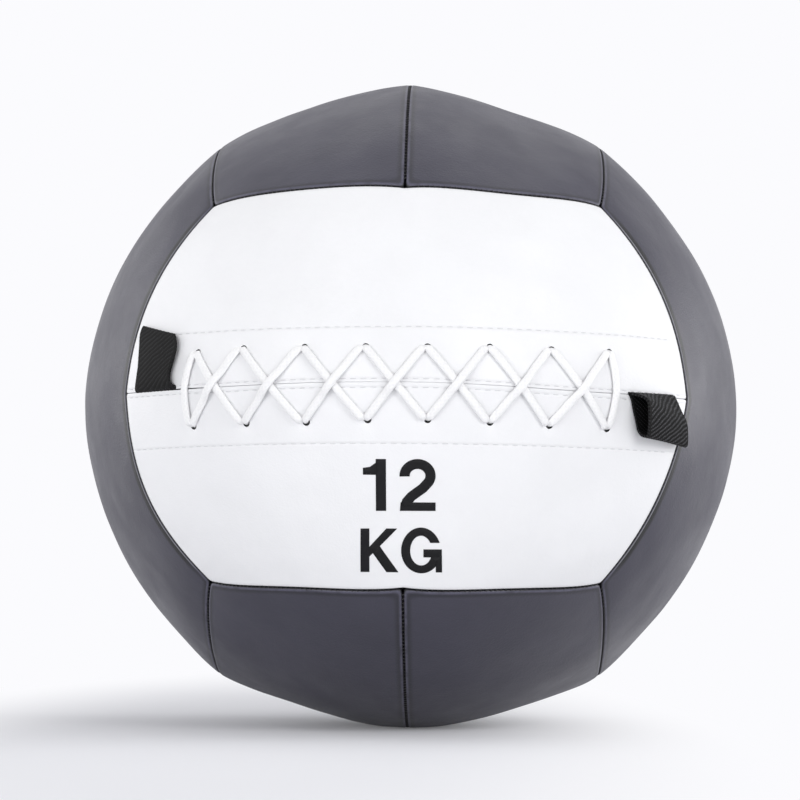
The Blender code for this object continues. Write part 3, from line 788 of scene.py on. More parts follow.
def sweep(shape, places, ups, widths, heights, sides):
    """A closed tube of oval section along places, with its length and girth as UVs."""
    layer = shape.loops.layers.uv.verify()
    places = np.array(places)
    steps = np.linalg.norm(np.diff(places, axis=0), axis=1)
    travelled = np.concatenate(([0.0], np.cumsum(steps)))
    headings = np.gradient(places, axis=0)
    rings = []
    for place, heading, up, width, height in zip(places, headings, ups, widths, heights):
        sideways = unit(np.cross(heading, up))
        upright = unit(np.cross(sideways, heading))
        ring = []
        for side in range(sides):
            turn = math.tau * side / sides
            across = math.copysign(abs(math.cos(turn)) ** 0.8, math.cos(turn)) * width / 2
            out = math.sin(turn) * height / 2
            ring.append(shape.verts.new(tuple(place + sideways * across + upright * out)))
        rings.append(ring)
    for index, (first, second) in enumerate(zip(rings, rings[1:])):
        for side in range(sides):
            follow = (side + 1) % sides
            face = shape.faces.new((first[side], first[follow], second[follow], second[side]))
            ends = (index, index, index + 1, index + 1)
            girths = (side, side + 1, side + 1, side)
            for loop, end, girth in zip(face.loops, ends, girths):
                loop[layer].uv = (travelled[end], girth / sides)
    shape.faces.new(rings[0][::-1])
    shape.faces.new(rings[-1])


def border(columns, rows):
    """Column, row and edges of each place on the border of a grid, in order round it."""
    middle = columns // 2
    places = [(column, 0, ("near",)) for column in range(1, columns)]
    places.append((columns, 0, ("near", "end")))
    places += [(columns, row, ("end",)) for row in range(1, rows)]
    places.append((columns, rows, ("end", "far_end")))
    places += [(column, rows, ("far_end",)) for column in range(columns - 1, middle, -1)]
    places.append((middle, rows, ("far_end", "far_start")))
    places += [(column, rows, ("far_start",)) for column in range(middle - 1, 0, -1)]
    places.append((0, rows, ("far_start", "start")))
    places += [(0, row, ("start",)) for row in range(rows - 1, 0, -1)]
    places.append((0, 0, ("start", "near")))
    return places


def seam_point(panel, along, across, depth, edges, laced_panel):
    """A place beside one seam or two, half the gap away from each; the slit's gap is its own."""
    place = panel.point(along, across, depth)
    normals = np.array([panel.seam_plane(edge) for edge in edges])
    gaps = np.full(len(edges), seam_gap)
    if laced_panel and "near" in edges:
        away = (place[0] - slit_opening_run) / slit_opening_reach
        gaps[edges.index("near")] = hem_gap + slit_opening * math.exp(-(away ** 2))
    short = gaps / 2 - normals @ place
    return place + np.linalg.lstsq(normals, short, rcond=None)[0]


def panel_grid(name, columns, rows, inset, near_inset, depth):
    """A grid of places on a panel, set in from its edges, and its shares along and across."""
    panel = panels[name]
    places = np.empty((rows + 1, columns + 1, 3))
    shares = np.empty((rows + 1, columns + 1, 2))
    lengths = panel.column_lengths(columns)
    for row in range(rows + 1):
        side = inset / panel.row_length(row / rows)
        for column, length in enumerate(lengths):
            low = near_inset / length
            high = 1 - inset / length
            across = low + (high - low) * row / rows
            along = side + (1 - 2 * side) * column / columns
            places[row, column] = panel.point(along, across, depth)
            shares[row, column] = along, across
    return places, shares


def seam_distances(name, shares):
    """How far each place of a panel is from its nearest sewn seam."""
    panel = panels[name]
    rows, columns = cells(shares)
    widths = np.array(panel.row_lengths(rows))[:, None]
    lengths = np.array(panel.column_lengths(columns))[None, :]
    along, across = shares[:, :, 0], shares[:, :, 1]
    away = np.minimum(np.minimum(along, 1 - along) * widths, (1 - across) * lengths)
    return away if name in laced else np.minimum(away, across * lengths)


def waves(place, scale, seed):
    """Smooth noise from -1 to 1 at a place."""
    return noise.noise(Vector(place) * scale + Vector((seed, 2 * seed, 3 * seed)))


def relief(name, places, shares):
    """How far the leather stands out: broad unevenness, and puckers square to each seam."""
    panel = panels[name]
    seed = 7.3 * list(panels).index(name)
    rows, columns = cells(places)
    height = np.zeros(places.shape[:2])
    lengths = panel.column_lengths(columns)
    for row in range(rows + 1):
        width = panel.row_length(row / rows)
        for column in range(columns + 1):
            along, across = shares[row, column]
            place = places[row, column]
            edge = min(row, column, rows - row, columns - column)
            held = 1 - math.exp(-edge * 0.45)
            broad = waves(place, relief_scales[0], seed)
            broad += 0.6 * waves(place, relief_scales[1], seed + 1)
            total = relief_height * broad
            puckers = (
                (across * lengths[column], along * width),
                ((1 - across) * lengths[column], along * width + 0.5),
                (along * width, across * lengths[column] + 1.0),
                ((1 - along) * width, across * lengths[column] + 1.5),
            )
            for away, travelled in puckers:
                fold = noise.noise(Vector((travelled / pucker_pitch, away / pucker_length, seed)))
                total += pucker_height * fold * math.exp(-away / pucker_reach)
            height[row, column] = total * held
    return height


def hole_places():
    """Run, rise and outward sense of every lace hole."""
    upper = zip(upper_hole_runs, upper_hole_rises)
    lower = zip(lower_hole_runs, lower_hole_rises, lower_hole_shifts)
    places = [(run + upper_hole_shift, rise) for run, rise in upper]
    return places + [(run + shift, rise - hole_outset) for run, rise, shift in lower]


def dimples(places):
    """How far the lace pulls each place of the laced face in."""
    depth = np.zeros(places.shape[:2])
    runs, rises = face_place(places)
    for run, rise in hole_places():
        away = np.hypot(runs - run, rises - rise)
        depth += hole_dimple_depth * np.exp(-(away / hole_dimple_reach) ** 2)
    return depth


def cloth_sheet(name, places):
    """The crown of a panel as a cloth held at its border, with slack beside the seams."""
    rows, columns = cells(places)
    data = bpy.data.meshes.new(name + "_cloth")
    data.from_pydata(places.reshape(-1, 3).tolist(), [], grid_faces(rows, columns))
    sheet = add_object(name + "_cloth", data)
    pins = sheet.vertex_groups.new(name="pins")
    slack = sheet.vertex_groups.new(name="slack")
    for row in range(rows + 1):
        for column in range(columns + 1):
            index = row * (columns + 1) + column
            reach = min(row, column, rows - row, columns - column)
            if reach == 0:
                pins.add([index], 1.0, "REPLACE")
            slack.add([index], max(0.0, 1 - reach / (rows / 4)), "REPLACE")
    settings = sheet.modifiers.new("Cloth", "CLOTH").settings
    settings.quality = 5
    settings.mass = 0.25
    settings.air_damping = 2.0
    settings.tension_stiffness = 20
    settings.compression_stiffness = 20
    settings.shear_stiffness = 8
    settings.bending_stiffness = 0.6
    settings.vertex_group_mass = "pins"
    settings.vertex_group_shrink = "slack"
    settings.shrink_min = 0.0
    settings.shrink_max = -0.04
    settings.use_pressure = True
    settings.uniform_pressure_force = 4.0
    settings.effector_weights.gravity = 0.0
    return sheet


def settle(crowns):
    """Run all the cloths together and put the moved places back in the crowns."""
    scene = bpy.context.scene
    scene.frame_start = 1
    scene.frame_end = cloth_frames
    sheets = {name: cloth_sheet(name, places) for name, places in crowns.items()}
    for number in range(1, cloth_frames + 1):
        scene.frame_set(number)
    graph = bpy.context.evaluated_depsgraph_get()
    for name, sheet in sheets.items():
        data = sheet.evaluated_get(graph).data
        moved = np.empty(len(data.vertices) * 3)
        data.vertices.foreach_get("co", moved)
        shift = moved.reshape(crowns[name].shape) - crowns[name]
        length = np.linalg.norm(shift, axis=2, keepdims=True)
        crowns[name] = crowns[name] + shift * np.minimum(1.0, cloth_cap / np.maximum(length, 1e-9))
    for sheet in sheets.values():
        bpy.data.objects.remove(sheet)
    scene.frame_set(1)


def make_crowns():
    """Each panel's crown, with its distances from the seams: settled cloth, then its relief."""
    crowns = {}
    shares = {}
    for name in panels:
        columns = laced_columns if name in laced else cover_columns
        near_inset = hem_radius if name in laced else roll_radius
        grid = panel_grid(name, columns, columns // 2, roll_radius, near_inset, 0.0)
        crowns[name], shares[name] = grid
    settle(crowns)
    distances = {}
    for name, places in crowns.items():
        distances[name] = seam_distances(name, shares[name])
        height = relief(name, places, shares[name])
        if name in laced:
            height -= dimples(draw_seams(places))
        outward = places / np.linalg.norm(places, axis=2, keepdims=True)
        places += outward * height[:, :, None]
        places[:, :, 2] = np.maximum(places[:, :, 2], -ball_centre[2])
    return crowns, distances


def add_rod(shape, radius, length, segments, middle, turn):
    """A closed cylinder, turned and then moved to its middle."""
    bmesh.ops.create_cone(
        shape,
        cap_ends=True,
        segments=segments,
        radius1=radius,
        radius2=radius,
        depth=length,
        matrix=Matrix.Translation(Vector(middle)) @ turn,
    )


def make_hole_cutter(cover):
    """Round punches square to the leather, one for each lace hole."""
    shape = bmesh.new()
    for run, rise in hole_places():
        middle = cover.lay(run, rise, 0.0)
        turn = Vector(unit(middle)).to_track_quat("Z", "Y").to_matrix().to_4x4()
        add_rod(shape, hole_radius, punch_length, 24, middle, turn)
    return new_piece("hole_cutter", shape, bpy.data.materials.new("cutter"))


def dress_panel(name, places, distances, material, cutters=()):
    """A panel: its crown, its rolled edge and the start of its seam allowance."""
    panel = panels[name]
    rows, columns = cells(places)
    shape = bmesh.new()
    seam_distance = shape.verts.layers.float.new("seam_distance")
    rise = shape.verts.layers.float.new("rise")
    grid = add_grid(shape, places)
    for row, line in enumerate(grid):
        for column, vertex in enumerate(line):
            vertex[seam_distance] = distances[row, column]
    ring_places = border(columns, rows)
    ring = [grid[row][column] for column, row, edges in ring_places]
    crest = [np.array(vertex.co) for vertex in ring]
    roots = [
        seam_point(panel, column / columns, row / rows, 0.0, edges, name in laced)
        for column, row, edges in ring_places
    ]
    for level in (*roll_turns, None):
        below = []
        for index, root in enumerate(roots):
            inward = -unit(root)
            radius = min(roll_radius, float(np.linalg.norm(crest[index] - root)))
            if level is None:
                place = root + inward * (radius + flange_depth)
            else:
                turn = math.radians(level)
                sideways = (crest[index] - root) * (1 - math.sin(turn))
                place = root + sideways + inward * radius * (1 - math.cos(turn))
            vertex = shape.verts.new(tuple(place))
            aside = radius * (1 - math.sin(math.radians(level or 90)))
            at_slit = name in laced and ring_places[index][2] == ("near",)
            vertex[seam_distance] = crown_distance if at_slit else aside
            below.append(vertex)
        for index, vertex in enumerate(ring):
            shape.faces.new((vertex, ring[index - 1], below[index - 1], below[index]))
        ring = below
    drawn = draw_seams(np.array([tuple(vertex.co) for vertex in shape.verts]))
    runs, rises = face_place(drawn)
    nominal = rises + slit_drop(runs, rises)
    for vertex, place, height in zip(shape.verts, drawn, nominal):
        vertex.co = tuple(place)
        vertex[rise] = height
    piece = new_piece(name + "_cover", shape, material)
    form(piece, leather_thickness, smooth=True, cutters=cutters)
    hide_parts(name + "_panel")


class Cover:
    """The dressed cover, to lay lace, straps, stitches and print on."""

    def __init__(self, crowns):
        places = []
        faces = []
        for crown in crowns.values():
            faces += grid_faces(*cells(crown), len(places))
            places += draw_seams(crown).reshape(-1, 3).tolist()
        self.tree = BVHTree.FromPolygons(places, faces)

    def radius(self, direction):
        """How far out the leather lies in a direction, or nothing over a seam."""
        far = Vector(direction) * ball_width
        hit = self.tree.ray_cast(far, -Vector(direction), ball_width - half_width / 2)[0]
        return 0.0 if hit is None else hit.length

    def lay(self, run, rise, lift):
        """A place at a lift over the leather."""
        direction = unit(face_direction(run, rise) * flatten)
        sideways = unit(np.cross(direction, (0, 0, 1)))
        upward = np.cross(sideways, direction)
        reach = roll_radius * 1.3 / half_width
        tries = [direction]
        tries += [unit(direction + turn * reach) for turn in (sideways, -sideways, upward, -upward)]
        found = self.radius(direction)
        if found == 0.0:
            found = max(self.radius(other) for other in tries)
        return direction * (found + lift)


def smooth_route(points, step):
    """Places at an even step along a smooth curve through points."""
    points = np.array(points, dtype=float)
    padded = np.vstack((2 * points[0] - points[1], points, 2 * points[-1] - points[-2]))
    dense = []
    for before, first, second, after in zip(padded, padded[1:], padded[2:], padded[3:]):
        count = max(2, int(np.linalg.norm(second - first) / step))
        for share in np.arange(count) / count:
            square, cube = share ** 2, share ** 3
            dense.append(
                (
                    2 * first
                    + (second - before) * share
                    + (2 * before - 5 * first + 4 * second - after) * square
                    + (3 * first - before - 3 * second + after) * cube
                )
                / 2
            )
    dense.append(points[-1])
    return np.array(dense)


def strand_bend(place, heading, depth, lift):
    """The lace's way round the edge of a hole, from inside the hole outwards."""
    length = math.hypot(heading[0], heading[1])
    ahead = [(share * lace_thickness / length) for share in (0.0, 0.35, 1.3)]
    lifts = (-leather_thickness, lift * 0.75, lift)
    if depth is not None:
        ahead = ahead[:2]
        lifts = (-depth + lace_thickness, -depth)
    return [
        (place[0] + heading[0] * step, place[1] + heading[1] * step, height)
        for step, height in zip(ahead, lifts)
    ]


def outside_run(first, second, over):
    """The lace from one hole to another over the face, above or under the strand it crosses."""
    heading = (second[0] - first[0], second[1] - first[1])
    back = (-heading[0], -heading[1])
    low = lace_thickness / 2 + lace_clearance
    high = low + lace_thickness * 0.92
    route = strand_bend(first, heading, None, low)
    shares = (0.30, 0.42, 0.50, 0.58, 0.70) if over else (0.36, 0.5, 0.64)
    lifts = (0.12, 0.85, 1.0, 0.85, 0.12) if over else (0.0, -0.04, 0.0)
    for share, lift in zip(shares, lifts):
        height = low + (high - low) * lift
        route.append((first[0] + heading[0] * share, first[1] + heading[1] * share, height))
    return route + strand_bend(second, back, None, low)[::-1]


def inside_run(first, second, depth):
    """The lace from one hole to another behind the facing."""
    heading = (second[0] - first[0], second[1] - first[1])
    back = (-heading[0], -heading[1])
    middle = ((first[0] + second[0]) / 2, (first[1] + second[1]) / 2, -depth)
    bends = strand_bend(first, heading, depth, 0.0), strand_bend(second, back, depth, 0.0)
    return bends[0] + [middle] + bends[1][::-1]


def bar_run(first, second, bow):
    """The lace over the face between the two holes of an end column, bowed to one side."""
    middle = (first[0] + bow, (first[1] + second[1]) / 2)
    low = lace_thickness / 2 + lace_clearance
    rise = strand_bend(first, (middle[0] - first[0], middle[1] - first[1]), None, low)
    fall = strand_bend(second, (middle[0] - second[0], middle[1] - second[1]), None, low)
    return rise + [(middle[0], middle[1], low * 1.1)] + fall[::-1]


def lace_route():
    """The whole lace, as in the solids: rising strands back to the left bar, then falling ones."""
    spread = lace_half_spread
    rows = ((upper_hole_runs, upper_hole_rises), (lower_hole_runs, lower_hole_rises))
    upper, lower = (
        [((run - spread, rise), (run + spread, rise)) for run, rise in zip(*row)] for row in rows
    )
    last = len(upper) - 1
    loose_run = upper_hole_runs[last]
    route = [(loose_run, 0.003, -lace_near_depth)]
    route += strand_bend(upper[last][0], (0, -1), lace_near_depth, 0.0)[::-1]
    for column in range(last, 0, -1):
        route += outside_run(upper[column][0], lower[column - 1][1], True)
        route += inside_run(lower[column - 1][1], upper[column - 1][0], lace_near_depth)
    route += bar_run(upper[0][0], lower[0][0], left_bar_bow)
    for column in range(last):
        route += inside_run(lower[column][0], upper[column][1], lace_far_depth)
        route += outside_run(upper[column][1], lower[column + 1][0], False)
    route += inside_run(lower[last][0], upper[last][1], lace_far_depth)
    route += bar_run(upper[last][1], lower[last][1], right_bar_bow)
    route += strand_bend(lower[last][1], (0, 1), lace_near_depth, 0.0)
    route.append((loose_run, -0.003, -lace_near_depth))
    return route


def make_lace(cover, material):
    """One flat braided lace, pinched where it turns into a hole."""
    route = smooth_route(lace_route(), lace_step)
    places = np.array([cover.lay(*point) for point in route])
    headings = np.gradient(places, axis=0)
    headings /= np.linalg.norm(headings, axis=1, keepdims=True)
    ups = []
    before = None
    for place, heading in zip(places, headings):
        sideways = np.cross(heading, unit(place))
        if before is None:
            before = unit(sideways)
        if np.dot(sideways, before) < 0:
            sideways = -sideways
        before = unit(before * 0.8 + sideways * 0.5)
        ups.append(np.cross(before, heading))
    lifts = route[:, 2]
    level = np.clip((lifts - lace_thickness * 0.1) / (lace_thickness * 0.4), 0.0, 1.0)
    level = np.convolve(level, np.ones(5) / 5, mode="same")
    widths = lace_width * (lace_pinch_share + (1 - lace_pinch_share) * level)
    uneven = [1 + 0.05 * waves(place, 130.0, 5.0) for place in places]
    heights = lace_thickness * (1 + 0.25 * (1 - level))
    shape = bmesh.new()
    sweep(shape, places, ups, widths * uneven, heights, 14)
    bmesh.ops.recalc_face_normals(shape, faces=list(shape.faces))
    piece = new_piece("braided_lace", shape, material)
    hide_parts("lace")


def add_stitch(shape, first, second, bow, radius):
    """One stitch: a short round thread that stands up between its two ends."""
    outward = unit(first)
    places = []
    for share in (0.0, 0.12, 0.35, 0.65, 0.88, 1.0):
        lift = bow * math.sin(math.pi * share) ** 0.6
        places.append(first + (second - first) * share + outward * lift)
    girths = [2 * radius * share for share in (0.55, 0.95, 1.0, 1.0, 0.95, 0.55)]
    sweep(shape, places, [outward] * len(places), girths, girths, 6)


def face_stitches(cover, rise, start, end, shape):
    """A straight row of stitches along the laced face."""
    count = int((end - start) / stitch_pitch)
    for index in range(count):
        run = start + (index + 0.5) * stitch_pitch
        wobble = 0.00012 * noise.noise(Vector((run * 300, rise * 1000, 0)))
        height = rise - float(slit_drop(run, rise))
        first = cover.lay(run - stitch_length / 2, height + wobble, -stitch_radius)
        second = cover.lay(run + stitch_length / 2, height - wobble, -stitch_radius)
        add_stitch(shape, first, second, stitch_radius * 1.2, stitch_radius)


def make_face_stitches(cover, crowns, material):
    """The hem and facing stitch lines of the laced face, from seam to seam."""
    shape = bmesh.new()
    for rise in (upper_facing_rise, lower_facing_rise, *hem_stitch_rises):
        crown = draw_seams(crowns["front_upper" if rise > 0 else "front_lower"])
        ends = []
        for side in (0, -1):
            runs, rises = face_place(crown[:, side])
            order = np.argsort(rises)
            ends.append(float(np.interp(rise, rises[order], runs[order])))
        face_stitches(cover, rise, min(ends) + 0.002, max(ends) - 0.002, shape)
    new_piece("face_stitches", shape, material)


def make_seam_stitches(material):
    """The seam threads, seen as short bridges down in the grooves between panels."""
    shape = bmesh.new()
    for name, panel in panels.items():
        seams = ["start", "end"]
        if name in ("rear_upper", "left_front", "right_front", "top_left", "bottom_left"):
            seams.append("near")
        for seam in seams:
            near = seam == "near"
            side = 0.0 if seam == "start" else 1.0
            length = panel.row_length(0.0) if near else panel.column_length(0.0)
            count = int(length / seam_stitch_pitch)
            for index in range(2, count - 1):
                share = (index + 0.5) / count
                step = seam_stitch_reach / length
                ends = (share + step, share - step)
                spots = [(end, 0.0) if near else (side, end) for end in ends]
                ahead, behind = (panel.point(*spot, seam_stitch_depth) for spot in spots)
                middle = (ahead + behind) / 2
                across = unit(np.cross(behind - ahead, middle)) * seam_stitch_half
                slant = (behind - ahead) * seam_stitch_slant
                tips = draw_seams(np.array((middle - across - slant, middle + across + slant)))
                add_stitch(shape, *tips, seam_stitch_bow, seam_stitch_radius)
    new_piece("seam_stitches", shape, material)


def stroke(points, width):
    """Four-sided pieces of a pen line of one width through points."""
    points = np.array(points, dtype=float)
    headings = np.gradient(points, axis=0)
    headings /= np.linalg.norm(headings, axis=1, keepdims=True)
    sides = np.stack((-headings[:, 1], headings[:, 0]), axis=1) * width / 2
    lefts, rights = points + sides, points - sides
    return [
        (lefts[index], rights[index], rights[index + 1], lefts[index + 1])
        for index in range(len(points) - 1)
    ]


def bow_points(middle, radii, first_angle, last_angle, count=40):
    """Points along an oval arc."""
    turns = np.radians(np.linspace(first_angle, last_angle, count))
    return [
        (middle[0] + radii[0] * math.cos(turn), middle[1] + radii[1] * math.sin(turn))
        for turn in turns
    ]


def one_shape():
    """The figure one, a unit high."""
    stem = [(0.24, 0.0), (0.43, 0.0), (0.43, 1.0), (0.24, 1.0)]
    flag = [(0.0, 0.70), (0.24, 0.70), (0.24, 0.93), (0.13, 0.85), (0.0, 0.83)]
    return [stem, flag]


def two_shape():
    """The figure two, a unit high and starting at nothing."""
    bow = bow_points((0.335, 0.685), (0.240, 0.225), 184, -38)
    tail = [(0.43, 0.44), (0.33, 0.365), (0.22, 0.28), (0.135, 0.18), (0.105, 0.085)]
    base = [(0.005, 0.0), (0.67, 0.0), (0.67, 0.165), (0.02, 0.165)]
    return stroke(bow + tail, 0.188) + [base]


def k_shape():
    """The letter K, a unit high."""
    stem = [(0.0, 0.0), (0.191, 0.0), (0.191, 1.0), (0.0, 1.0)]
    arm = [(0.191, 0.36), (0.788, 1.0), (0.555, 1.0), (0.191, 0.587)]
    leg = [(0.268, 0.44), (0.555, 0.0), (0.811, 0.0), (0.40, 0.63)]
    return [stem, arm, leg]


def g_shape():
    """The letter G, a unit high."""
    middle = (0.4245, 0.500)
    outer = bow_points(middle, (0.4245, 0.5227), 20.4, 317, 60)
    inner = bow_points(middle, (0.2333, 0.341), 32.2, 334, 60)
    bow = list(zip(outer[:-1], inner[:-1], inner[1:], outer[1:]))
    bar = [(0.474, 0.351), (0.868, 0.351), (0.868, 0.533), (0.474, 0.533)]
    spur = [(0.734, 0.0), (0.868, 0.0), (0.868, 0.351), (0.734, 0.351)]
    heel = [(0.635, 0.351), (0.734, 0.145), (0.734, 0.351)]
    return bow + [bar, spur, heel]


def make_mark(cover, name, letters, height, start, top_rise, material):
    """Plain printed characters laid on the lower laced panel, each with its own step along."""
    shape = bmesh.new()
    for step, pieces in letters:
        for outline in pieces:
            corners = [
                (start + (step + x) * height, top_rise - (1 - y) * height, 0.0) for x, y in outline
            ]
            shape.faces.new([shape.verts.new(corner) for corner in corners])
    bmesh.ops.remove_doubles(shape, verts=list(shape.verts), dist=0.00001)
    for normal, first in ((Vector((1, 0, 0)), start), (Vector((0, 1, 0)), top_rise - height)):
        first_cell = int(first / print_cell) - 1
        last_cell = int((first + height * 2) / print_cell) + 1
        for number in range(first_cell, last_cell + 1):
            place = [part * number * print_cell for part in normal]
            everything = shape.verts[:] + shape.edges[:] + shape.faces[:]
            bmesh.ops.bisect_plane(shape, geom=everything, plane_co=place, plane_no=normal)
    for face in shape.faces:
        if face.normal.z < 0:
            face.normal_flip()
    for vertex in shape.verts:
        vertex.co = Vector(cover.lay(vertex.co[0], vertex.co[1], print_lift))
    form(new_piece(name, shape, material), print_thickness)


# Both sides of each strap on its way out of the slit and back, in tenths of a millimetre:
# reach along the face, lift and shift
left_strap_sides = (
    (
        (-8, -12, 10), (4, 5, 12), (50, 9, 24), (120, 9, 36), (200, 9, 45), (270, 9, 50),
        (312, 10, 54), (325, 16, 58), (317, 24, 66), (298, 28, 63), (272, 29, 59),
        (210, 29, 61), (144, 29, 63), (90, 28, 62), (50, 24, 58), (20, 16, 48), (0, 9, 38),
        (-8, -12, 30),
    ),
    (
        (-12, -12, 4), (4, 5, 0), (40, 9, -14), (90, 9, -12), (150, 9, 6), (200, 9, 14),
        (240, 10, 8), (262, 14, 4), (267, 21, 8), (243, 29, 28), (194, 32, 38), (153, 34, 29),
        (111, 35, 16), (71, 34, 4), (38, 30, 6), (14, 20, 16), (6, 8, 26), (-10, -12, 26),
    ),
)
right_strap_sides = (
    (
        (20, -12, 22), (24, 5, 24), (56, 10, 40), (90, 11, 50), (121, 12, 60), (171, 14, 78),
        (200, 20, 83), (220, 44, 82), (226, 70, 85), (216, 88, 86), (174, 105, 72),
        (130, 116, 60), (99, 118, 55), (68, 112, 55), (50, 94, 53), (39, 70, 47), (30, 40, 38),
        (26, 16, 30), (20, -12, 26),
    ),
    (
        (16, -12, 46), (22, 5, 46), (60, 9, 40), (120, 10, 60), (190, 12, 92), (235, 15, 112),
        (254, 23, 120), (262, 36, 122), (254, 49, 120), (230, 56, 109), (206, 62, 98),
        (170, 69, 82), (140, 72, 64), (110, 66, 42), (81, 56, 31), (55, 42, 31), (37, 28, 36),
        (24, 14, 45), (16, -12, 48),
    ),
)


def make_strap(cover, name, angle, sense, sides, material):
    """A woven strap folded into a loop, whose two ends come out of the slit."""
    middle_run = math.radians(angle) * half_width
    paths = []
    for side in sides:
        path = smooth_route(np.array(side) / 10000, 0.0002)
        steps = np.linalg.norm(np.diff(path, axis=0), axis=1)
        travelled = np.concatenate(([0.0], np.cumsum(steps)))
        even = np.linspace(0.0, travelled[-1], strap_steps + 1)
        parts = [np.interp(even, travelled, path[:, part]) for part in range(3)]
        paths.append(np.stack(parts, axis=1))
    places = np.empty((strap_steps + 1, strap_cells + 1, 3))
    for cell in range(strap_cells + 1):
        share = cell / strap_cells
        path = paths[0] * (1 - share) + paths[1] * share
        run = middle_run + (share - 0.5) * strap_width
        for step, (reach, lift, shift) in enumerate(path):
            places[step, cell] = cover.lay(run + shift, sense * reach, lift)
    across = np.gradient(places, axis=1)
    along = np.gradient(places, axis=0)
    normals = np.cross(across, along)
    normals /= np.linalg.norm(normals, axis=2, keepdims=True)
    travelled = np.cumsum(np.linalg.norm(along, axis=2), axis=0)
    slant = math.radians(rib_angle)
    shape = bmesh.new()
    layer = shape.verts.layers.float.new("rib")
    ribs = np.empty(places.shape[:2])
    for step in range(strap_steps + 1):
        for cell in range(strap_cells + 1):
            wide = cell / strap_cells * strap_width
            long = travelled[step, cell]
            phase = (wide * math.cos(slant) + sense * long * math.sin(slant)) / rib_pitch
            phase += rib_waver * noise.noise(Vector((wide * 180, long * 180, 0)))
            beads = (wide * math.sin(slant) - sense * long * math.cos(slant)) / bead_pitch
            ridge = 0.5 + 0.5 * math.cos(math.tau * phase)
            bead = 0.72 + 0.28 * math.cos(math.tau * beads)
            edge = min(wide, strap_width - wide)
            selvedge = max(0.0, 1 - edge / selvedge_width)
            ribs[step, cell] = max(ridge * bead * (1 - selvedge), 0.6 * selvedge * bead)
    places += normals * (ribs * rib_height)[:, :, None]
    grid = add_grid(shape, places)
    for step, line in enumerate(grid):
        for cell, vertex in enumerate(line):
            vertex[layer] = ribs[step, cell]
    piece = new_piece(name + "_strap", shape, material, None)
    form(piece, strap_thickness - rib_height, 0.0)
    apply_modifiers(piece, 60)
    body = name + "_loop"
    hinge = next(joint for joint in frame["joints"] if joint["child"] == body)
    start = np.array(hinge["pos_m"]) + np.array((0.0, 0.0, -0.001 * sense))
    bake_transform(piece)
    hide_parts(name + "_webbing_loop")


def make_pad(name, material):
    """A soft foam pad with bulged sides, between a panel and the inner bag."""
    columns, rows = 24, 12
    near = tongue_width / 2 + tongue_clearance if name in laced else pad_inset
    outer, inner = (
        draw_seams(panel_grid(name, columns, rows, pad_inset, near, depth)[0])
        for depth in (pad_depth + pad_clearance, allowance_depth - pad_clearance)
    )
    middle = (outer + inner) / 2
    shape = bmesh.new()
    top_grid = add_grid(shape, outer)
    base_grid = [[shape.verts.new(tuple(place)) for place in line] for line in inner]
    for lower, upper in zip(base_grid, base_grid[1:]):
        for column in range(columns):
            shape.faces.new((upper[column], upper[column + 1], lower[column + 1], lower[column]))
    ring = [(row, column) for column, row, edges in border(columns, rows)]
    centre = middle[rows // 2, columns // 2]
    rims = [[grid[row][column] for row, column in ring] for grid in (top_grid, base_grid)]
    waist = []
    for place in ring:
        bulged = middle[place] + unit(middle[place] - centre) * pad_bulge
        waist.append(shape.verts.new(tuple(bulged)))
    for index, side in enumerate(waist):
        before = index - 1
        shape.faces.new((rims[0][index], rims[0][before], waist[before], side))
        shape.faces.new((side, waist[before], rims[1][before], rims[1][index]))
    piece = new_piece(name + "_foam", shape, material)
    form(piece, smooth=True)
    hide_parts(name + "_pad")


def make_facing(name, material, holes):
    """A woven strip behind a row of lace holes."""
    panel = panels[name]
    columns, rows = 64, 8

    def place(row, column):
        along = 0.5 + (column / columns - 0.5) * facing_length_share
        reach = pad_inset + facing_width * row / rows
        spot = panel.point(along, reach / panel.column_length(0.5), facing_depth)
        return spot * (1 + 0.0008 * waves(spot, 90.0, 3.0))

    shape = bmesh.new()
    add_grid(shape, grid_of(rows, columns, place))
    side = name.split("_")[1]
    piece = new_piece(side + "_facing_strip", shape, material)
    form(piece, facing_thickness, cutters=(holes,))
    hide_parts(side + "_lace_facing")
    flat = (facing_width, panel.row_length(0.1) * facing_length_share)


def make_tongue(cover, material):
    """The soft flap behind the slit."""
    columns, rows = 72, 20

    def place(row, column):
        rise = tongue_width * (row / rows - 0.5)
        return cover.lay(tongue_length * (column / columns - 0.5), rise, -tongue_depth)

    shape = bmesh.new()
    add_grid(shape, grid_of(rows, columns, place))
    piece = new_piece("soft_tongue", shape, material)
    form(piece, tongue_thickness)
    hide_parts("lacing_tongue")


def layer_shape(depth, wrinkle, scale):
    """A closed skin at a depth under all twelve panels, wrinkled inwards only."""
    columns, rows = 20, 10

    def place(panel, row, column):
        spot = panel.point(column / columns, row / rows, depth)
        return spot - unit(spot) * wrinkle * abs(waves(spot, scale, 6.0))

    shape = bmesh.new()
    for panel in panels.values():
        add_grid(shape, grid_of(rows, columns, place, panel))
    bmesh.ops.remove_doubles(shape, verts=list(shape.verts), dist=seam_gap / 3)
    bmesh.ops.recalc_face_normals(shape, faces=list(shape.faces))
    return shape


def mouth_cutter():
    """A round way from the opening to the ballast bag."""
    shape = bmesh.new()
    turn = Matrix.Rotation(math.radians(90), 4, "X")
    add_rod(shape, bag_mouth_radius, half_width, 48, (0.0, -half_width / 2, 0.0), turn)
    return new_piece("mouth_cutter", shape, bpy.data.materials.new("cutter"))


def cavity_cutter():
    """The round hollow in the filling that holds the ballast bag."""
    shape = bmesh.new()
    radius = ballast_bag_radius + cavity_clearance
    bmesh.ops.create_uvsphere(shape, u_segments=40, v_segments=20, radius=radius)
    return new_piece("cavity_cutter", shape, bpy.data.materials.new("cutter"))


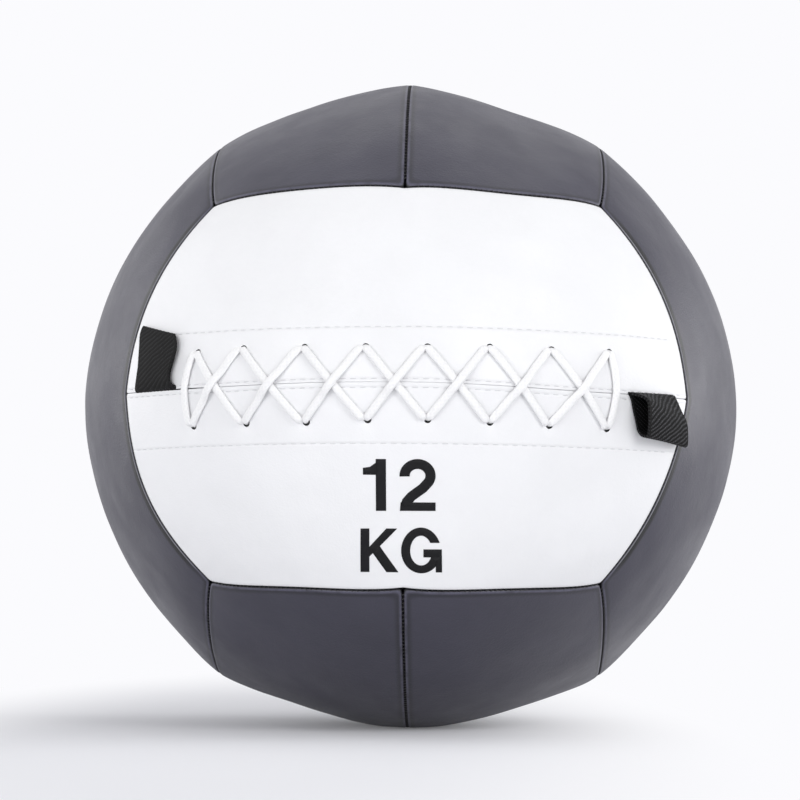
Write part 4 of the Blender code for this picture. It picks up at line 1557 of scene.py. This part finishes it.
def make_inner_bag(mouth, material):
    """The thin wrinkled bag that holds the filling, with a round mouth towards the slit."""
    piece = new_piece("filling_bag", layer_shape(bag_depth, *bag_wrinkles), material)
    form(piece, bag_thickness, cutters=(mouth,))
    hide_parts("inner_bag")


def make_filling(mouth, material):
    """Packed fibre with a lumpy skin, hollow where the ballast bag lies."""
    cavity = cavity_cutter()
    shape = layer_shape(filling_depth, *fibre_wrinkles)
    piece = new_piece("packed_fibre", shape, material)
    form(piece, cutters=(cavity, mouth))
    bpy.data.objects.remove(cavity)
    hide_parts("fibre_filling")


def make_ballast_bag(material):
    """A round canvas bag with gathers at its open neck."""
    neck_turn = math.asin(ballast_neck_radius / ballast_bag_radius)
    neck_top = ballast_bag_radius * math.cos(neck_turn) + ballast_neck_length
    profile = [(ballast_neck_radius, neck_top)]
    steps = 28
    for step in range(steps + 1):
        turn = neck_turn + (math.pi - neck_turn) * step / steps
        profile.append((ballast_bag_radius * math.sin(turn), ballast_bag_radius * math.cos(turn)))
    sides = 96
    shape = bmesh.new()
    rings = []
    for radius, height in profile[:-1]:
        ring = []
        for side in range(sides):
            turn = math.tau * side / sides
            drawn = max(0.0, 1 - radius / gather_reach)
            gather = gather_depth * drawn * math.cos(gather_count * turn)
            girth = radius * (1 - neck_shrink * drawn + gather * gather_share)
            girth -= canvas_wrinkle * abs(waves((turn, height * 20, 0), 2.0, 8.0))
            ring.append(shape.verts.new((girth * math.cos(turn), -height, girth * math.sin(turn))))
        rings.append(ring)
    for first, second in zip(rings, rings[1:]):
        for side in range(sides):
            follow = (side + 1) % sides
            shape.faces.new((first[side], second[side], second[follow], first[follow]))
    tip = shape.verts.new((0.0, ballast_bag_radius, 0.0))
    for side in range(sides):
        shape.faces.new((rings[-1][side], tip, rings[-1][(side + 1) % sides]))
    bmesh.ops.recalc_face_normals(shape, faces=list(shape.faces))
    piece = new_piece("canvas_ballast_bag", shape, material)
    form(piece, canvas_thickness)
    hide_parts("ballast_bag")


def make_camera():
    """The camera at the photograph's place, a little below the middle of the ball."""
    azimuth = math.radians(camera_azimuth)
    elevation = math.radians(camera_elevation)
    back = Vector((
        math.sin(azimuth) * math.cos(elevation),
        -math.cos(azimuth) * math.cos(elevation),
        math.sin(elevation),
    ))
    lens = bpy.data.cameras.new("camera")
    lens.sensor_width = 36.0
    lens.lens = focal_pixels / frame_pixels * lens.sensor_width
    lens.shift_x = middle_shift[0] / frame_pixels
    lens.shift_y = middle_shift[1] / frame_pixels
    camera = add_object("camera", lens)
    camera.location = Vector(ball_centre) + back * (camera_reach * half_width)
    turn = (-back).to_track_quat("-Z", "Y").to_matrix()
    camera.rotation_euler = (turn @ Matrix.Rotation(math.radians(camera_roll), 3, "Z")).to_euler()
    bpy.context.scene.camera = camera


def add_area(name, place, size, power):
    """A soft rectangular lamp aimed at the ball."""
    lamp = bpy.data.lights.new(name, "AREA")
    lamp.shape = "RECTANGLE"
    lamp.size, lamp.size_y = size
    lamp.energy = power
    thing = add_object(name, lamp)
    thing.location = place
    thing.rotation_euler = (Vector(ball_centre) - Vector(place)).to_track_quat("-Z", "Y").to_euler()


def seen_share(tree):
    """One where a ray comes from the camera, a mirror or glass, and nothing elsewhere."""
    path = tree.nodes.new("ShaderNodeLightPath")
    most = path.outputs["Is Camera Ray"]
    for name in ("Is Glossy Ray", "Is Transmission Ray"):
        larger = tree.nodes.new("ShaderNodeMath")
        larger.operation = "MAXIMUM"
        tree.links.new(most, larger.inputs[0])
        tree.links.new(path.outputs[name], larger.inputs[1])
        most = larger.outputs[0]
    return most


def make_world():
    """An even pale light, white where it is looked at."""
    world = bpy.data.worlds.new("studio")
    bpy.context.scene.world = world
    world.use_nodes = True
    tree = world.node_tree
    level = tree.nodes.new("ShaderNodeMapRange")
    level.inputs["To Min"].default_value = world_light
    level.inputs["To Max"].default_value = 1.0
    tree.links.new(seen_share(tree), level.inputs["Value"])
    sky = tree.nodes["Background"]
    sky.inputs["Color"].default_value = backdrop_colour
    tree.links.new(level.outputs["Result"], sky.inputs["Strength"])


def make_floor():
    """A pale floor that fades into the white surroundings and keeps the ball's shadow."""
    shape = bmesh.new()
    bmesh.ops.create_grid(shape, x_segments=24, y_segments=24, size=6.0)
    data = bpy.data.meshes.new("floor")
    shape.to_mesh(data)
    shape.free()
    floor = add_object("floor", data)
    nodes = Nodes("floor", 0.9)
    nodes.colour(nodes.mix(nodes.noise(1.2, 2.0), (0.85, 0.855, 0.885), (0.87, 0.875, 0.905)))
    nodes.shader.inputs["Specular IOR Level"].default_value = 0.1
    moved = nodes.vector("ADD", nodes.coordinates.outputs["Object"], fade_shift)
    away = nodes.vector("LENGTH", nodes.vector("MULTIPLY", moved, fade_scale))
    far = nodes.span(away, *fade_span)
    glow = nodes.add("Emission", Color=backdrop_colour)
    join = nodes.add("MixShader")
    nodes.link(nodes.math("MULTIPLY", far, seen_share(nodes.tree)), join.inputs[0])
    nodes.link(nodes.shader.outputs[0], join.inputs[1])
    nodes.link(glow.outputs[0], join.inputs[2])
    nodes.link(join.outputs[0], nodes.tree.nodes["Material Output"].inputs["Surface"])
    data.materials.append(nodes.material)


def make_studio():
    """Soft lamps, world and floor."""
    bpy.context.scene.view_settings.view_transform = "Standard"
    for lamp in lamp_table:
        add_area(*lamp)
    make_world()
    make_floor()


def build():
    """Dress the whole ball and light it."""
    make_camera()
    make_studio()
    crowns, distances = make_crowns()
    cover = Cover(crowns)
    holes = make_hole_cutter(cover)
    white = laced_leather_material("white_leather", (0.86, 0.863, 0.875), 0.45)
    grey = leather_material("grey_leather", (0.0430, 0.0415, 0.0620), 1.8, 0.44)
    for name, places in crowns.items():
        if name in laced:
            dress_panel(name, places, distances[name], white, (holes,))
        else:
            dress_panel(name, places, distances[name], grey)
    make_lace(cover, lace_material())
    # One black webbing as two copies: the left loop, turned from the lamps, gets painted shade with
    # less rib contrast and fainter flecks; the right loop, facing them, gets brighter painted
    # highlight flecks.
    shaded_webbing = webbing_material("webbing_painted_shaded", 0.010, 0.024, 0.045)
    make_strap(cover, "left", left_loop_angle, 1, left_strap_sides, shaded_webbing)
    ribbed = webbing_material("black_webbing_painted_lit", 0.004, 0.030, 0.105)
    make_strap(cover, "right", right_loop_angle, -1, right_strap_sides, ribbed)
    make_face_stitches(cover, crowns, thread_material("pale_thread", (0.80, 0.80, 0.82)))
    make_seam_stitches(thread_material("dark_thread", (0.020, 0.020, 0.022)))
    ink = ink_material()
    number = ((0.0, one_shape()), (0.68, two_shape()))
    unit_letters = ((0.0, k_shape()), (0.872, g_shape()))
    make_mark(cover, "weight_number", number, 0.0264, -0.0193, -0.0377, ink)
    make_mark(cover, "weight_unit", unit_letters, 0.0229, -0.0206, -0.0732, ink)

    lining = cloth_material("lining_cloth", (0.62, 0.62, 0.60))
    foam = cloth_material("soft_foam", (0.34, 0.35, 0.37), 700.0, 0.95, 0.0004)
    for name in panels:
        make_pad(name, foam)
    for name in laced:
        make_facing(name, lining, holes)
    make_tongue(cover, lining)
    mouth = mouth_cutter()
    make_inner_bag(mouth, cloth_material("bag_cloth", (0.60, 0.60, 0.58), 1200.0))
    make_filling(mouth, cloth_material("packed_fibre", (0.34, 0.36, 0.42), 260.0, 0.95, 0.0015))
    make_ballast_bag(cloth_material("ballast_canvas", (0.44, 0.38, 0.28), 1100.0))
    frame["nodes"]["ballast"].data.materials.clear()
    frame["nodes"]["ballast"].data.materials.append(steel_material())
    bpy.data.objects.remove(holes)
    bpy.data.objects.remove(mouth)


build()
